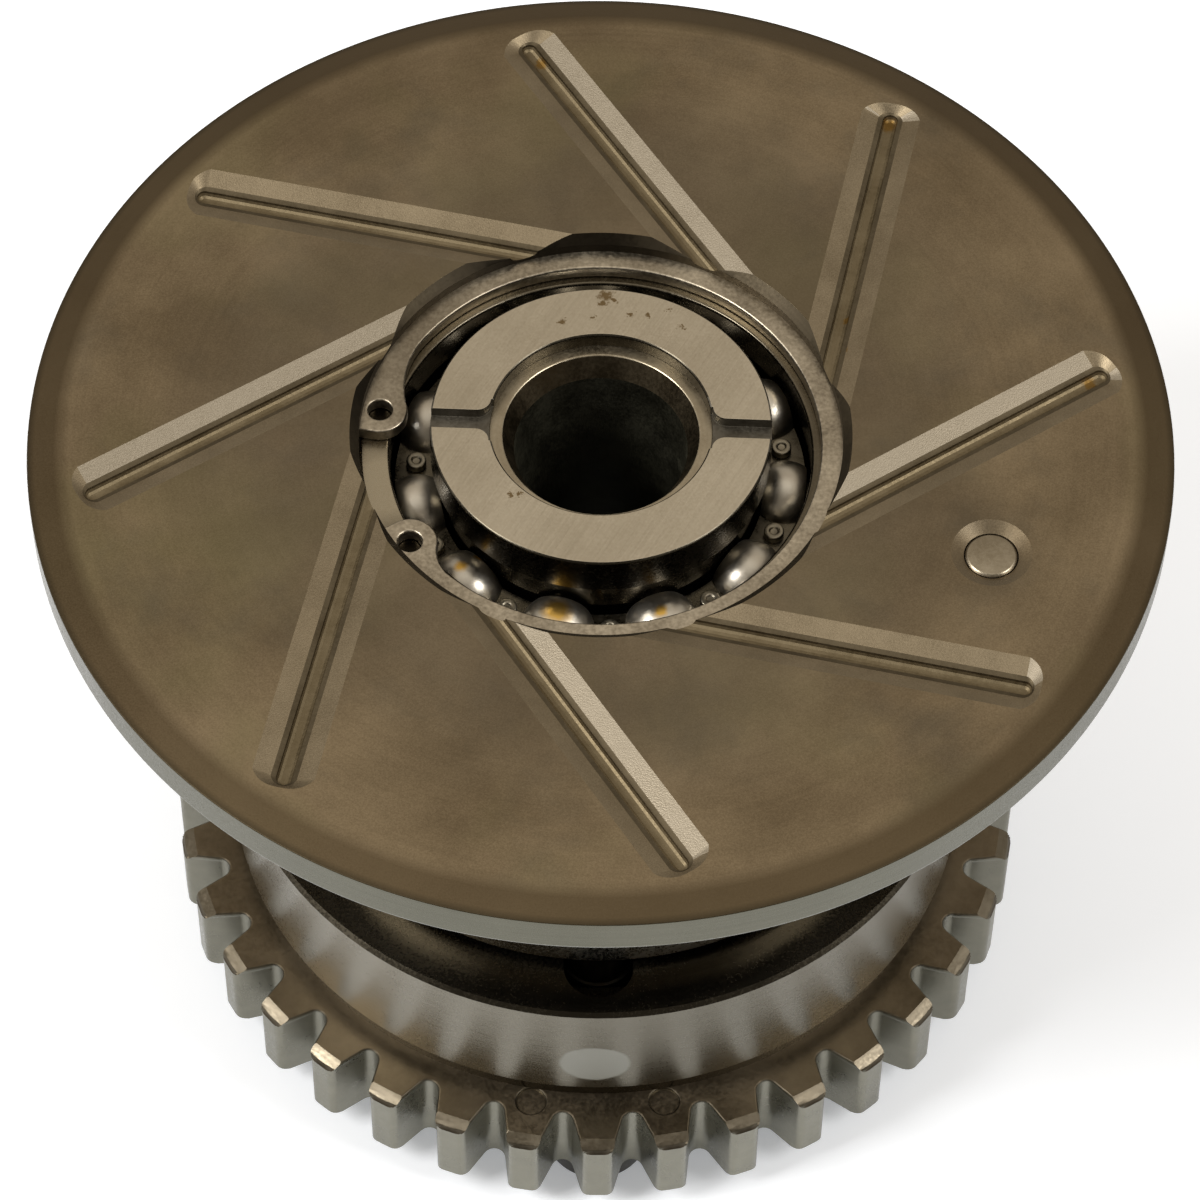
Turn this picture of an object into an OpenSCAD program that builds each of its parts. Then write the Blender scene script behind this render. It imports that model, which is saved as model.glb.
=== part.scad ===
// Cam phaser with a magnetic brake disc.
// The grooved disc turns a spiral plate, three spring-loaded pins follow its spirals,
// and the links they sit in turn the camshaft hub against the chain sprocket.
// The axis of rotation is Z, and the phaser stands on its rear screw heads.

/* [Brake disc] */
// Outer diameter of the disc
disc_d = 130; // [126:1:140]
// Height of the upright rim
rim_h = 4.9; // [4:0.1:7]
// Width of the sloping ring between rim and friction face
bevel_w = 3.8; // [2.5:0.1:4.5]
// Rise of the sloping ring
bevel_h = 0.85; // [0.5:0.05:1.1]
// Break on the rear edge of the rim
rim_break = 0.5; // [0.2:0.1:1]
// Wall of the boss that holds the bearing
boss_wall = 5.5; // [4:0.1:6]
// Thickness of the web behind the bearing
web_t = 2.5; // [2:0.1:4]
// Width of the shoulder behind the bearing
web_w = 3; // [2:0.1:4]
// Break on the front edge of the bore
mouth_break = 1; // [0.5:0.1:1.2]

/* [Oil grooves] */
// Number of grooves in the friction face
groove_n = 8; // [4:1:10]
// Width of a groove across its sloping flanks
groove_w = 7; // [5:0.1:8]
// Depth at the foot of the flanks
flank_depth = 0.8; // [0.5:0.05:0.8]
// Width of the central slot
slot_w = 2; // [1.4:0.1:2]
// Depth of the slot below the face
slot_depth = 1.9; // [1.85:0.05:2.1]
// Distance of the outer groove ends from the edge of the friction face
groove_margin = 4.2; // [4.1:0.1:9]
// Distance at which the groove lines pass the axis
groove_offset = 23.4; // [16:0.1:26]
// Angle of the first outer groove end
groove_angle = 8; // [-20:0.1:20]

/* [Ball bearing] */
// Bore of the bearing
bearing_bore = 30; // [28:0.5:31]
// Outside diameter of the bearing
bearing_od = 55; // [54:0.5:58]
// Width of the bearing
bearing_w = 13; // [12:0.5:16]
// Depth of the bearing's front below the friction face
bearing_inset = 4; // [3.4:0.05:4.4]
// Ball diameter
ball_d = 7.144; // [6.5:0.001:7.5]
// Number of balls
ball_n = 11; // [8:1:11]
// Depth of the raceways
race_depth = 0.72; // [0.5:0.01:1]
// Angle of the first ball
ball_angle = -5.4; // [-30:0.1:30]
// Sheet thickness of the cage
cage_t = 0.9; // [0.5:0.05:1]
// Gap between the cage and the shoulders of the rings
cage_gap = 0.5; // [0.3:0.05:0.8]
// Diameter of the cage rivets
rivet_d = 1.6; // [1.2:0.1:1.8]
// Diameter of the rivet heads
rivet_head_d = 2.3; // [2:0.1:2.5]
// Height of the rivet heads
rivet_head_h = 1; // [0.4:0.1:1.2]

/* [Retaining ring] */
// Thickness of the ring
ring_t = 1.75; // [1.2:0.05:1.8]
// Depth of the ring's groove in the disc bore
ring_seat = 1.1; // [0.8:0.05:1.6]
// Radial width of the ring
ring_w = 3.5; // [3:0.1:4]
// Angle of the middle of the gap
ring_gap_angle = 191.5; // [0:0.5:360]
// Angle between the two lug holes
lug_span = 43; // [30:0.5:60]
// Distance of the lug holes from the outside of the ring
lug_inset = 3; // [2.6:0.1:3.4]
// Diameter of the lugs
lug_d = 6.3; // [5.6:0.1:6.8]
// Diameter of the lug holes
lug_hole_d = 2.8; // [2:0.1:3]
// Radius of the short blend behind one lug
lug_blend = 5; // [3:0.5:7]
// Radius of the long taper behind the other lug
lug_taper = 12; // [9:0.5:14]

/* [Camshaft hub] */
// Diameter of the front collar
collar_d = 38.8; // [36:0.2:42]
// Bore of the front collar
collar_bore = 25.2; // [24:0.2:27]
// Height of the collar above the hub's end
collar_h = 2; // [1.8:0.1:3]
// Height of the collar skirt around the hub's end
skirt_h = 3.15; // [2.5:0.05:4]
// Width of the two tool slots in the collar
tool_slot_w = 2.6; // [2:0.1:4]
// Depth of the tool slots
tool_slot_depth = 1.4; // [0.8:0.1:1.6]
// Rounding where the slots meet the collar bore
tool_slot_flare = 1.6; // [0.8:0.1:2.5]
// Angle of the tool slots
tool_slot_angle = -2.4; // [-45:0.1:45]
// Break on the collar's edges
collar_break = 0.2; // [0.1:0.1:0.6]
// Diameter of the deep bore for the centre bolt's head
tool_bore = 19.8; // [19:0.1:21]
// Height of the cone at the mouth of the deep bore
tool_bore_cone = 2.6; // [1:0.1:3]
// Width of the cone at the mouth of the deep bore
tool_bore_cone_w = 1.35; // [0.8:0.05:1.4]
// Diameter of the centre bolt hole
bolt_hole_d = 12.5; // [10:0.5:14]
// Thickness of the web under the centre bolt
bolt_web_t = 8; // [6:0.5:12]
// Diameter of the socket for the camshaft's nose
nose_d = 28; // [26:0.5:29]
// Depth of the socket for the camshaft's nose
nose_depth = 8; // [6:0.5:9]
// Width of the hub's shoulder behind the bearing
shoulder_w = 2.5; // [2:0.1:2.7]
// Diameter of the journal that runs in the sprocket
journal_d = 34; // [33:0.5:34]
// Width of the flange between the journal and the levers
flange_w = 1; // [0.5:0.1:1.5]
// Diameter of the hole for the camshaft's dowel
cam_dowel_d = 4; // [3:0.5:5]
// Depth of the hole for the camshaft's dowel
cam_dowel_depth = 5; // [4:0.5:7]

/* [Links] */
// Distance of the lever pins from the axis, and length of the links
lever_len = 21; // [20.5:0.1:23]
// Angle between a lever and its window at rest
rest_angle = 38.3; // [36:0.1:42]
// Turn of the hub over the whole range
hub_swing = 16; // [12:0.5:17]
// Turn of the disc over the whole range
disc_swing = 160; // [120:1:165]
// Diameter of the lever pins
lever_pin_d = 6; // [5:0.1:6.5]
// Wall of the eyes around the lever pins
eye_wall = 2.6; // [2:0.1:3]
// Thickness of the levers
lever_t = 6.2; // [5:0.1:7]
// Diameter of the link ends that slide in the windows
tip_d = 8; // [7:0.1:8.6]
// Shoulder at the foot of the link ends
tip_shoulder = 0.4; // [0.2:0.1:0.8]
// Width of the arm between the two ends
arm_w = 6.4; // [5:0.1:7]
// Drop of the link ends below the drum's face
tip_drop = 0.5; // [0.3:0.1:1]
// Diameter of the guide pins
guide_d = 5; // [4:0.1:5.4]
// Length of a guide pin's shank
guide_l = 6; // [5:0.1:7]
// Gap between a guide pin's shank and the spiral plate
guide_gap = 0.48; // [0.3:0.01:0.8]
// Diameter of a guide pin's ball end
guide_ball_d = 4; // [3:0.1:4.2]
// Height of the ball's centre above the drum's face
guide_ball_rise = 0.7; // [0.5:0.05:0.9]
// Length of the spring under a guide pin
guide_spring_l = 5; // [4:0.1:5.5]
// Wire of the guide pin springs
guide_wire_d = 0.6; // [0.4:0.05:0.7]
// Turns of the guide pin springs
guide_turns = 4; // [3:1:5]

/* [Spiral plate and return spring] */
// Gap between the drum's face and the spiral plate
plate_gap = 1; // [0.8:0.1:1.5]
// Thickness of the spiral plate
plate_t = 5; // [4.5:0.1:7]
// Depth of the spirals
spiral_depth = 2.2; // [2:0.1:2.8]
// Land between the spirals' outer ends and the plate's edge
plate_land = 3.5; // [2.5:0.1:3.6]
// Bore of the spiral plate
plate_bore = 40; // [38:0.5:42]
// Rounding of the plate's rear edge
plate_round = 1; // [0.5:0.1:1.5]
// Free height between spiral plate and disc
spring_room = 42.6; // [38:0.1:50]
// Wall of the sleeve between spiral plate and disc
sleeve_wall = 6; // [3:0.1:7]
// Length of the sleeve's spigot in the disc boss
spigot_h = 3.5; // [2.5:0.1:5]
// Width of the spigot's step
spigot_step = 2.5; // [1.5:0.1:2.8]
// Wire of the return spring
spring_wire_d = 4; // [3:0.1:4.4]
// Gap between the disc boss and the return spring
spring_gap = 1; // [0.6:0.1:1.5]
// Pitch of the return spring
spring_pitch = 7.2; // [6:0.1:7.6]
// Turns of the return spring
spring_turns = 4; // [3:1:4]
// Reach of the bends at the return spring's ends
leg_bend = 6; // [5:0.1:8]
// Height of the return spring's first turn above the spiral plate
spring_lift = 6; // [5:0.1:8]
// Diameter of the dowel that anchors the spring in the disc
dowel_d = 5.9; // [5:0.1:6.4]
// Distance of the disc dowel from the rim
dowel_inset = 18.3; // [16:0.1:19]
// Angle of the disc dowel
dowel_angle = -21.3; // [-60:0.1:10]
// Diameter of the countersink around the disc dowel
dowel_sink_d = 9.1; // [8.6:0.1:9.6]
// Depth of the countersink around the disc dowel
dowel_sink_depth = 0.7; // [0.5:0.1:1.5]
// Depth of the disc dowel's end below the friction face
dowel_drop = 0.4; // [0.1:0.05:0.6]
// Diameter of the pin that anchors the spring in the drum
anchor_d = 4; // [3:0.1:4.4]
// Depth of the anchor pin in the drum
anchor_depth = 7; // [5:0.1:9]
// Angle of the anchor pin
anchor_angle = 90; // [60:1:120]

/* [Guide drum] */
// Wall of the drum around the links
drum_wall = 7.4; // [7:0.1:10]
// Height of the drum
drum_h = 19.8; // [19.5:0.1:24]
// Thickness of the drum's front wall
front_wall_t = 6; // [5:0.1:7]
// Break on the drum's front edge
drum_break = 0.5; // [0.2:0.1:1]
// Depth of the relief at the drum's foot
relief_depth = 0.8; // [0.4:0.1:1]
// Height of the relief at the drum's foot
relief_h = 2.9; // [2:0.1:4]
// Length of the windows beyond the links' outer end stop
window_overrun = 5.5; // [4:0.1:6]

/* [Chain sprocket] */
// Number of teeth
teeth = 36; // [32:1:40]
// Thickness of the sprocket
sprocket_t = 11.8; // [11:0.1:16]
// Width of the face between the drum and the tooth roots
root_land = 1.9; // [1.5:0.1:4]
// Height of the teeth
tooth_h = 5.1; // [4:0.1:5.2]
// Radius at the root between two teeth
root_round = 1.35; // [1:0.05:1.5]
// Angle of the tooth flanks
flank_angle = 21; // [14:1:22]
// Rounding of the tooth tips
tip_round = 0.8; // [0.4:0.1:1]
// Width of the bevel on the front of the teeth
front_bevel_w = 2.3; // [1:0.1:3]
// Drop of the bevel on the front of the teeth
front_bevel_h = 1.6; // [0.8:0.1:2.5]
// Width of the bevel on the rear of the teeth
rear_bevel_w = 1.2; // [0.6:0.1:2]
// Drop of the bevel on the rear of the teeth
rear_bevel_h = 0.6; // [0.3:0.1:1.5]
// Diameter of the two timing marks
mark_d = 3.6; // [2.5:0.1:3.8]
// Distance of the timing marks' middles from the drum
mark_offset = 0.9; // [0.5:0.1:1.4]
// Depth of the timing marks
mark_depth = 0.4; // [0.2:0.1:0.8]

/* [Rear screws] */
// Thread diameter of the screws
screw_d = 5; // [4:0.5:5]
// Diameter of the screw heads
screw_head_d = 12.6; // [10:0.1:13]
// Height of the screw heads
screw_head_h = 3.4; // [3:0.1:5]
// Length of thread in the drum
thread_l = 10.5; // [8:0.1:11]
// Depth of the hexagon sockets
hex_depth = 2; // [1.5:0.1:2.5]
// Width of the hexagon sockets across corners
hex_d = 5.8; // [4:0.1:6]

/* [Clearances] */
// Radial clearance of running fits
running_gap = 0.03; // [0.02:0.01:0.08]
// Clearance of sliding fits on each side
slide_gap = 0.12; // [0.08:0.01:0.2]
// Clearance between parts that pass one another
free_gap = 0.4; // [0.3:0.05:0.6]
// Axial gap between the layers inside the drum
layer_gap = 0.3; // [0.25:0.05:0.4]

/* [Hidden] */
$fn = 96;
eps = 0.01;
fill_lap = 0.04;
front_angle = -90;
window_n = 3;
tool_slot_n = 2;
window_angles = [for (i = [0 : window_n - 1]) front_angle + i * 360 / window_n];
arc_steps = 8;
window_steps = 16;
spiral_step = 4;
wire_sides = 8;
coil_steps = 24;
coil_sides = 6;
small_coil_steps = 14;

// Radii of the link mechanism, with lever and link equally long
phase_ratio = hub_swing / disc_swing;
function tip_radius(turn) = 2 * lever_len * cos(rest_angle + phase_ratio * turn);
tip_out_r = tip_radius(0);
tip_in_r = tip_radius(disc_swing);
eye_r = lever_pin_d / 2 + eye_wall;
neck_r = lever_len - eye_r - free_gap;
hub_r = bearing_bore / 2 + shoulder_w;
cavity_r = tip_out_r + tip_d / 2 + tip_shoulder + free_gap;
drum_r = cavity_r + drum_wall;
screw_r = cavity_r + drum_wall / 2;
spiral_half_w = guide_ball_d / 2 + slide_gap;
plate_r = tip_out_r + spiral_half_w + plate_land;
root_r = drum_r + root_land;
tip_r = root_r + tooth_h;

// Radii of the disc, bearing and spring
disc_r = disc_d / 2;
face_r = disc_r - bevel_w;
groove_end_r = face_r - groove_margin;
dowel_r = disc_r - dowel_inset;
bearing_r = bearing_od / 2;
boss_r = bearing_r + boss_wall;
web_r = bearing_r - web_w;
sleeve_r = web_r + sleeve_wall;
spigot_r = sleeve_r - spigot_step;
ring_r = bearing_r + ring_seat;
ring_in_r = ring_r - ring_w;
lug_r = ring_r - lug_inset;
ball_r = ball_d / 2;
pitch_r = (bearing_bore + bearing_od) / 4;
inner_land_r = pitch_r - ball_r + race_depth;
outer_land_r = pitch_r + ball_r - race_depth;
race_r = ball_r + running_gap;
cage_in_r = inner_land_r + cage_gap;
cage_out_r = outer_land_r - cage_gap;
coil_r = boss_r + spring_gap + spring_wire_d / 2;

// Heights from the rear screw heads to the front collar
z_back = screw_head_h;
z_sprocket = z_back + sprocket_t;
z_drum = z_sprocket + drum_h;
z_wall = z_drum - front_wall_t;
z_lever = z_sprocket + layer_gap;
z_link = z_lever + lever_t + layer_gap;
z_link_top = z_wall - layer_gap;
z_tip = z_drum - tip_drop;
z_plate = z_drum + plate_gap;
z_plate_top = z_plate + plate_t;
z_disc = z_plate_top + spring_room;
z_rim = z_disc + rim_h;
z_face = z_rim + bevel_h;
z_bearing_front = z_face - bearing_inset;
z_bearing = z_bearing_front - bearing_w;
z_balls = z_bearing_front - bearing_w / 2;
z_web = z_bearing - web_t;
z_boss = z_web - spigot_h;
z_hub_end = z_bearing_front + skirt_h;
z_collar = z_hub_end + collar_h;
z_nose = z_back + nose_depth;
z_bolt_seat = z_nose + bolt_web_t;
z_guide_ball = z_drum + guide_ball_rise;
z_guide = z_plate - guide_gap - guide_l;
z_guide_spring = z_guide - guide_spring_l;
z_coil = z_plate_top + spring_lift;
z_coil_end = z_coil + spring_pitch * spring_turns;

function on_circle(r, angle) = [r * cos(angle), r * sin(angle)];
function unit(v) = v / norm(v);

// Tube along a path that never runs straight up: one ring of points at each path point
function path_dir(p, i) = unit(p[min(i + 1, len(p) - 1)] - p[max(i - 1, 0)]);
function tube_ring(centre, dir, r, sides) =
    let (side = unit(cross(dir, [0, 0, 1])), up = cross(side, dir))
    [for (k = [0 : sides - 1]) centre + r * (cos(k * 360 / sides) * side + sin(k * 360 / sides) * up)];
module tube(path, r, sides) {
    rings = len(path);
    points = [for (i = [0 : rings - 1]) each tube_ring(path[i], path_dir(path, i), r, sides)];
    walls = [for (i = [0 : rings - 2], k = [0 : sides - 1])
        let (a = i * sides + k, b = i * sides + (k + 1) % sides)
        each [[a, a + sides, b], [b, a + sides, b + sides]]];
    first = [for (k = [0 : sides - 1]) k];
    last = [for (k = [sides - 1 : -1 : 0]) (rings - 1) * sides + k];
    polyhedron(points, concat(walls, [first, last]));
}

// Outline with round ends between two distances from the axis
function stadium(inner, outer, half_w) = concat(
    [for (i = [0 : window_steps]) [outer, 0] + on_circle(half_w, -90 + 180 * i / window_steps)],
    [for (i = [0 : window_steps]) [inner, 0] + on_circle(half_w, 90 + 180 * i / window_steps)]);

// One gap between two teeth, from the tip on its clockwise side to the next tip
flank_dir = [sin(flank_angle), cos(flank_angle)];
flank_foot = [root_round * cos(flank_angle), root_r + root_round - root_round * sin(flank_angle)];
flank_rise = flank_foot * flank_dir;
flank_l = sqrt(flank_rise * flank_rise - flank_foot * flank_foot + tip_r * tip_r) - flank_rise;
tooth_corner = flank_foot + flank_l * flank_dir;
corner_turn = atan2(tooth_corner.x, tooth_corner.y) + tip_round / tip_r * 180 / PI;
corner_start = tooth_corner - tip_round * flank_dir;
corner_end = tip_r * [sin(corner_turn), cos(corner_turn)];
function bend(a, b, c, t) = (1 - t) * (1 - t) * a + 2 * t * (1 - t) * b + t * t * c;
half_gap = concat(
    [for (i = [0 : arc_steps / 2]) bend(corner_end, tooth_corner, corner_start, 2 * i / arc_steps)],
    [for (i = [0 : arc_steps / 2]) [0, root_r + root_round]
        + on_circle(root_round, -flank_angle - (90 - flank_angle) * 2 * i / arc_steps)]);
function flipped(p) = [-p.x, p.y];
function reversed(points) = [for (i = [len(points) - 1 : -1 : 0]) points[i]];
function after_first(points) = [for (i = [1 : len(points) - 1]) points[i]];
tooth_gap = concat(half_gap, [for (p = after_first(reversed(half_gap))) flipped(p)]);
function turned(p, angle) = [p.y * cos(angle) + p.x * sin(angle), p.y * sin(angle) - p.x * cos(angle)];
sprocket_outline = [for (k = [0 : teeth - 1]) each
    [for (p = tooth_gap) turned(p, front_angle + (k + 0.5) * 360 / teeth)]];

module chain_sprocket() {
    color([0.55, 0.53, 0.49])
    difference() {
        intersection() {
            translate([0, 0, z_back]) linear_extrude(sprocket_t) polygon(sprocket_outline);
            rotate_extrude() polygon([
                [0, z_back], [tip_r - rear_bevel_w, z_back], [tip_r + eps, z_back + rear_bevel_h],
                [tip_r + eps, z_sprocket - front_bevel_h], [tip_r - front_bevel_w, z_sprocket],
                [0, z_sprocket]]);
        }
        translate([0, 0, z_back - eps]) cylinder(sprocket_t + 2 * eps, d = journal_d + 2 * running_gap);
        for (a = window_angles) rotate(a) translate([screw_r, 0, z_back - eps])
            cylinder(sprocket_t + 2 * eps, d = screw_d + free_gap);
        for (side = [-1, 1]) rotate(front_angle + side * 360 / teeth)
            translate([drum_r + mark_offset, 0, z_sprocket - mark_depth])
            cylinder(mark_depth + eps, d = mark_d);
    }
}

module guide_drum() {
    color([0.45, 0.44, 0.40])
    difference() {
        rotate_extrude() polygon([
            [cavity_r, z_sprocket], [drum_r - relief_depth, z_sprocket],
            [drum_r - relief_depth, z_sprocket + relief_h - relief_depth], [drum_r, z_sprocket + relief_h],
            [drum_r, z_drum - drum_break], [drum_r - drum_break, z_drum],
            [hub_r + free_gap, z_drum], [hub_r + free_gap, z_wall], [cavity_r, z_wall]]);
        for (a = window_angles) rotate(a) {
            translate([0, 0, z_wall - eps]) linear_extrude(front_wall_t + 2 * eps)
                polygon(stadium(tip_in_r - slide_gap, tip_out_r + window_overrun, tip_d / 2 + slide_gap));
            translate([screw_r, 0, z_sprocket - eps]) cylinder(thread_l + eps, d = screw_d);
        }
        rotate(anchor_angle) translate([screw_r, 0, z_drum - anchor_depth])
            cylinder(anchor_depth + eps, d = anchor_d);
    }
}

module rear_screws() {
    color([0.30, 0.30, 0.30])
    for (a = window_angles) rotate(a) translate([screw_r, 0, 0]) difference() {
        union() {
            cylinder(screw_head_h, d = screw_head_d);
            cylinder(z_sprocket + thread_l, d = screw_d);
        }
        translate([0, 0, -eps]) cylinder(hex_depth + eps, d = hex_d, $fn = 6);
    }
}

module spring_anchor_pin() {
    color([0.60, 0.60, 0.58])
    rotate(anchor_angle) translate([screw_r, 0, z_drum - anchor_depth])
        cylinder(z_coil + spring_wire_d - z_drum + anchor_depth, d = anchor_d);
}

// Section across an oil groove: two sloping flanks and a round-bottomed slot between them
groove_floor = [for (i = [0 : arc_steps / 2])
    [0, slot_w / 2 - slot_depth] + on_circle(slot_w / 2, -90 + 180 * i / arc_steps)];
half_groove = concat(groove_floor,
    [[slot_w / 2, -flank_depth], [groove_w / 2, 0], [groove_w / 2, bevel_h]]);
groove_section = concat([for (p = reversed(after_first(half_groove))) flipped(p)], half_groove);
groove_slant = asin(groove_offset / groove_end_r);
groove_l = groove_end_r * cos(groove_slant);
module oil_groove() {
    translate([groove_end_r, 0, z_face]) rotate(180 + groove_slant) {
        rotate([90, 0, 90]) linear_extrude(groove_l) polygon(groove_section);
        rotate(90) rotate_extrude(angle = 180) polygon(concat(half_groove, [[0, bevel_h]]));
    }
}

module brake_disc() {
    color([0.44, 0.41, 0.35])
    difference() {
        rotate_extrude() polygon([
            [web_r, z_web], [spigot_r, z_web], [spigot_r, z_boss], [boss_r, z_boss],
            [boss_r, z_disc], [disc_r - rim_break, z_disc], [disc_r, z_disc + rim_break],
            [disc_r, z_rim], [face_r, z_face],
            [bearing_r + mouth_break, z_face], [bearing_r, z_face - mouth_break],
            [bearing_r, z_bearing_front + ring_t], [ring_r, z_bearing_front + ring_t],
            [ring_r, z_bearing_front], [bearing_r, z_bearing_front],
            [bearing_r, z_bearing], [web_r, z_bearing]]);
        for (k = [0 : groove_n - 1]) rotate(groove_angle + k * 360 / groove_n) oil_groove();
        rotate(dowel_angle) translate([dowel_r, 0, 0]) {
            translate([0, 0, z_disc - eps]) cylinder(z_face - z_disc + 2 * eps, d = dowel_d);
            translate([0, 0, z_face - dowel_sink_depth])
                cylinder(dowel_sink_depth + eps, d1 = dowel_d, d2 = dowel_sink_d);
        }
    }
}

module disc_dowel() {
    color([0.50, 0.48, 0.44])
    rotate(dowel_angle) translate([dowel_r, 0, 0]) rotate_extrude() polygon([
        [0, z_coil_end - spring_wire_d], [dowel_d / 2, z_coil_end - spring_wire_d],
        [dowel_d / 2, z_face - dowel_drop - rim_break], [dowel_d / 2 - rim_break, z_face - dowel_drop],
        [0, z_face - dowel_drop]]);
}

// Middle line of a spiral in the plate, for a turn of the disc, and the outline around it
function spiral_point(start, turn) = on_circle(tip_radius(turn), start - turn);
function spiral_dir(start, turn) = unit(spiral_point(start, turn + 1) - spiral_point(start, turn - 1));
function spiral_side(start, turn, angle) =
    let (d = spiral_dir(start, turn))
    spiral_point(start, turn) + spiral_half_w
        * [d.x * cos(angle) - d.y * sin(angle), d.x * sin(angle) + d.y * cos(angle)];
function spiral_outline(start) = concat(
    [for (t = [0 : spiral_step : disc_swing]) spiral_side(start, t, -90)],
    [for (i = [1 : arc_steps - 1]) spiral_side(start, disc_swing, -90 + 180 * i / arc_steps)],
    [for (t = [disc_swing : -spiral_step : 0]) spiral_side(start, t, 90)],
    [for (i = [1 : arc_steps - 1]) spiral_side(start, 0, 90 + 180 * i / arc_steps)]);

module spiral_plate() {
    color([0.40, 0.39, 0.36])
    difference() {
        rotate_extrude() polygon(concat(
            [[plate_bore / 2, z_plate]],
            [for (i = [0 : arc_steps]) [plate_r - plate_round, z_plate + plate_round]
                + on_circle(plate_round, -90 + 90 * i / arc_steps)],
            [[plate_r, z_plate_top], [sleeve_r, z_plate_top], [sleeve_r, z_boss], [spigot_r, z_boss],
            [spigot_r, z_web], [web_r, z_web], [web_r, z_plate_top], [plate_bore / 2, z_plate_top]]));
        for (a = window_angles) translate([0, 0, z_plate - eps])
            linear_extrude(spiral_depth + eps) polygon(spiral_outline(a));
    }
}

// Coil that starts with a leg towards one pin and ends with a leg towards another
function coil_point(turn) = concat(on_circle(coil_r, coil_from + turn), z_coil + spring_pitch * turn / 360);
function leg_angle(pin_r, pin_d) = asin((pin_d / 2 + spring_wire_d / 2 + running_gap) / pin_r);
coil_from = anchor_angle + leg_angle(screw_r, anchor_d);
coil_to = dowel_angle - leg_angle(dowel_r, dowel_d);
coil_turn = 360 * spring_turns + coil_to - coil_from;
leg_turn = leg_bend / coil_r * 180 / PI;
function leg(angle, z, reach) = [for (r = [coil_r + leg_bend, reach]) concat(on_circle(r, angle), z)];
function corner(a, b, c) = [for (i = [1 : arc_steps - 1]) bend(a, b, c, i / arc_steps)];
start_leg = leg(coil_from, z_coil, screw_r + anchor_d);
end_leg = leg(coil_from + coil_turn, coil_point(coil_turn).z, dowel_r + dowel_d);
coil_path = concat(
    [start_leg[1], start_leg[0]],
    corner(start_leg[0], coil_point(0), coil_point(leg_turn)),
    [for (i = [0 : coil_steps * spring_turns])
        coil_point(leg_turn + (coil_turn - 2 * leg_turn) * i / (coil_steps * spring_turns))],
    corner(coil_point(coil_turn - leg_turn), coil_point(coil_turn), end_leg[0]),
    end_leg);
module return_spring() {
    color([0.35, 0.35, 0.36])
    tube(coil_path, spring_wire_d / 2, wire_sides);
}

// Round fill between a lug on the X axis and the inside of the ring
function fill_middle(blend) =
    let (r = ring_in_r - blend + fill_lap, reach = lug_d / 2 + blend - fill_lap)
    on_circle(r, acos((r * r + lug_r * lug_r - reach * reach) / (2 * r * lug_r)));
function lug_fill(blend) =
    let (m = fill_middle(blend), to = atan2(m.y, m.x), from = -atan2(m.y, lug_r - m.x))
    concat(
        [for (i = [0 : arc_steps]) on_circle(lug_r, to * i / arc_steps)],
        [for (i = [0 : arc_steps]) m + on_circle(blend, to + (from - to) * i / arc_steps)]);
module at_lug(side) {
    rotate(side * lug_span / 2) mirror([0, side < 0 ? 1 : 0]) children();
}
module retaining_ring() {
    color([0.42, 0.41, 0.38])
    translate([0, 0, z_bearing_front]) rotate(ring_gap_angle) linear_extrude(ring_t)
    difference() {
        intersection() {
            union() {
                difference() {
                    circle(ring_r);
                    circle(ring_in_r);
                    polygon([[0, 0], on_circle(2 * ring_r, -lug_span / 2),
                        on_circle(2 * ring_r, lug_span / 2)]);
                }
                for (side = [-1, 1]) at_lug(side) {
                    translate([lug_r, 0]) circle(d = lug_d);
                    translate([lug_r, -lug_d / 2]) square([lug_inset, lug_d / 2]);
                    polygon(lug_fill(side < 0 ? lug_taper : lug_blend));
                }
            }
            circle(ring_r);
        }
        for (side = [-1, 1]) at_lug(side) translate([lug_r, 0]) circle(d = lug_hole_d);
    }
}

// Bearing rings are plain turned rings with a round raceway for the balls
module raceway() {
    translate([0, 0, z_balls]) rotate_extrude() translate([pitch_r, 0]) circle(race_r);
}
module race_ring(outer, inner) {
    difference() {
        translate([0, 0, z_bearing]) cylinder(bearing_w, r = outer);
        translate([0, 0, z_bearing - eps]) cylinder(bearing_w + 2 * eps, r = inner);
        raceway();
    }
}
module bearing_outer_ring() {
    color([0.62, 0.61, 0.57]) race_ring(bearing_r, outer_land_r);
}
module bearing_inner_ring() {
    color([0.58, 0.57, 0.54]) race_ring(inner_land_r, bearing_bore / 2);
}
module at_balls(shift) {
    for (k = [0 : ball_n - 1]) rotate(ball_angle + (k + shift) * 360 / ball_n)
        translate([pitch_r, 0, z_balls]) children();
}
module bearing_balls() {
    color([0.70, 0.70, 0.68]) at_balls(0) sphere(ball_r);
}

// Pressed ribbon cage: each half has a pocket around every ball and a flat for every rivet
module cage_half(facing) {
    pocket_r = ball_r + slide_gap;
    difference() {
        translate([0, 0, z_balls]) mirror([0, 0, facing < 0 ? 1 : 0]) intersection() {
            difference() {
                cylinder(bearing_w / 2, r = cage_out_r);
                translate([0, 0, -eps]) cylinder(bearing_w / 2 + 2 * eps, r = cage_in_r);
            }
            translate([0, 0, -z_balls]) union() {
                translate([0, 0, z_balls - cage_t]) cylinder(2 * cage_t, r = bearing_r);
                at_balls(0) rotate([0, 90, 0]) cylinder(ball_d, r = pocket_r + cage_t, center = true);
            }
        }
        at_balls(0) rotate([0, 90, 0]) cylinder(2 * ball_d, r = pocket_r, center = true);
        at_balls(0.5) translate([0, 0, -bearing_w / 2]) cylinder(bearing_w, d = rivet_d);
    }
}
module cage_front() {
    color([0.50, 0.49, 0.45]) cage_half(1);
}
module cage_rear() {
    color([0.50, 0.49, 0.45]) cage_half(-1);
}
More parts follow.
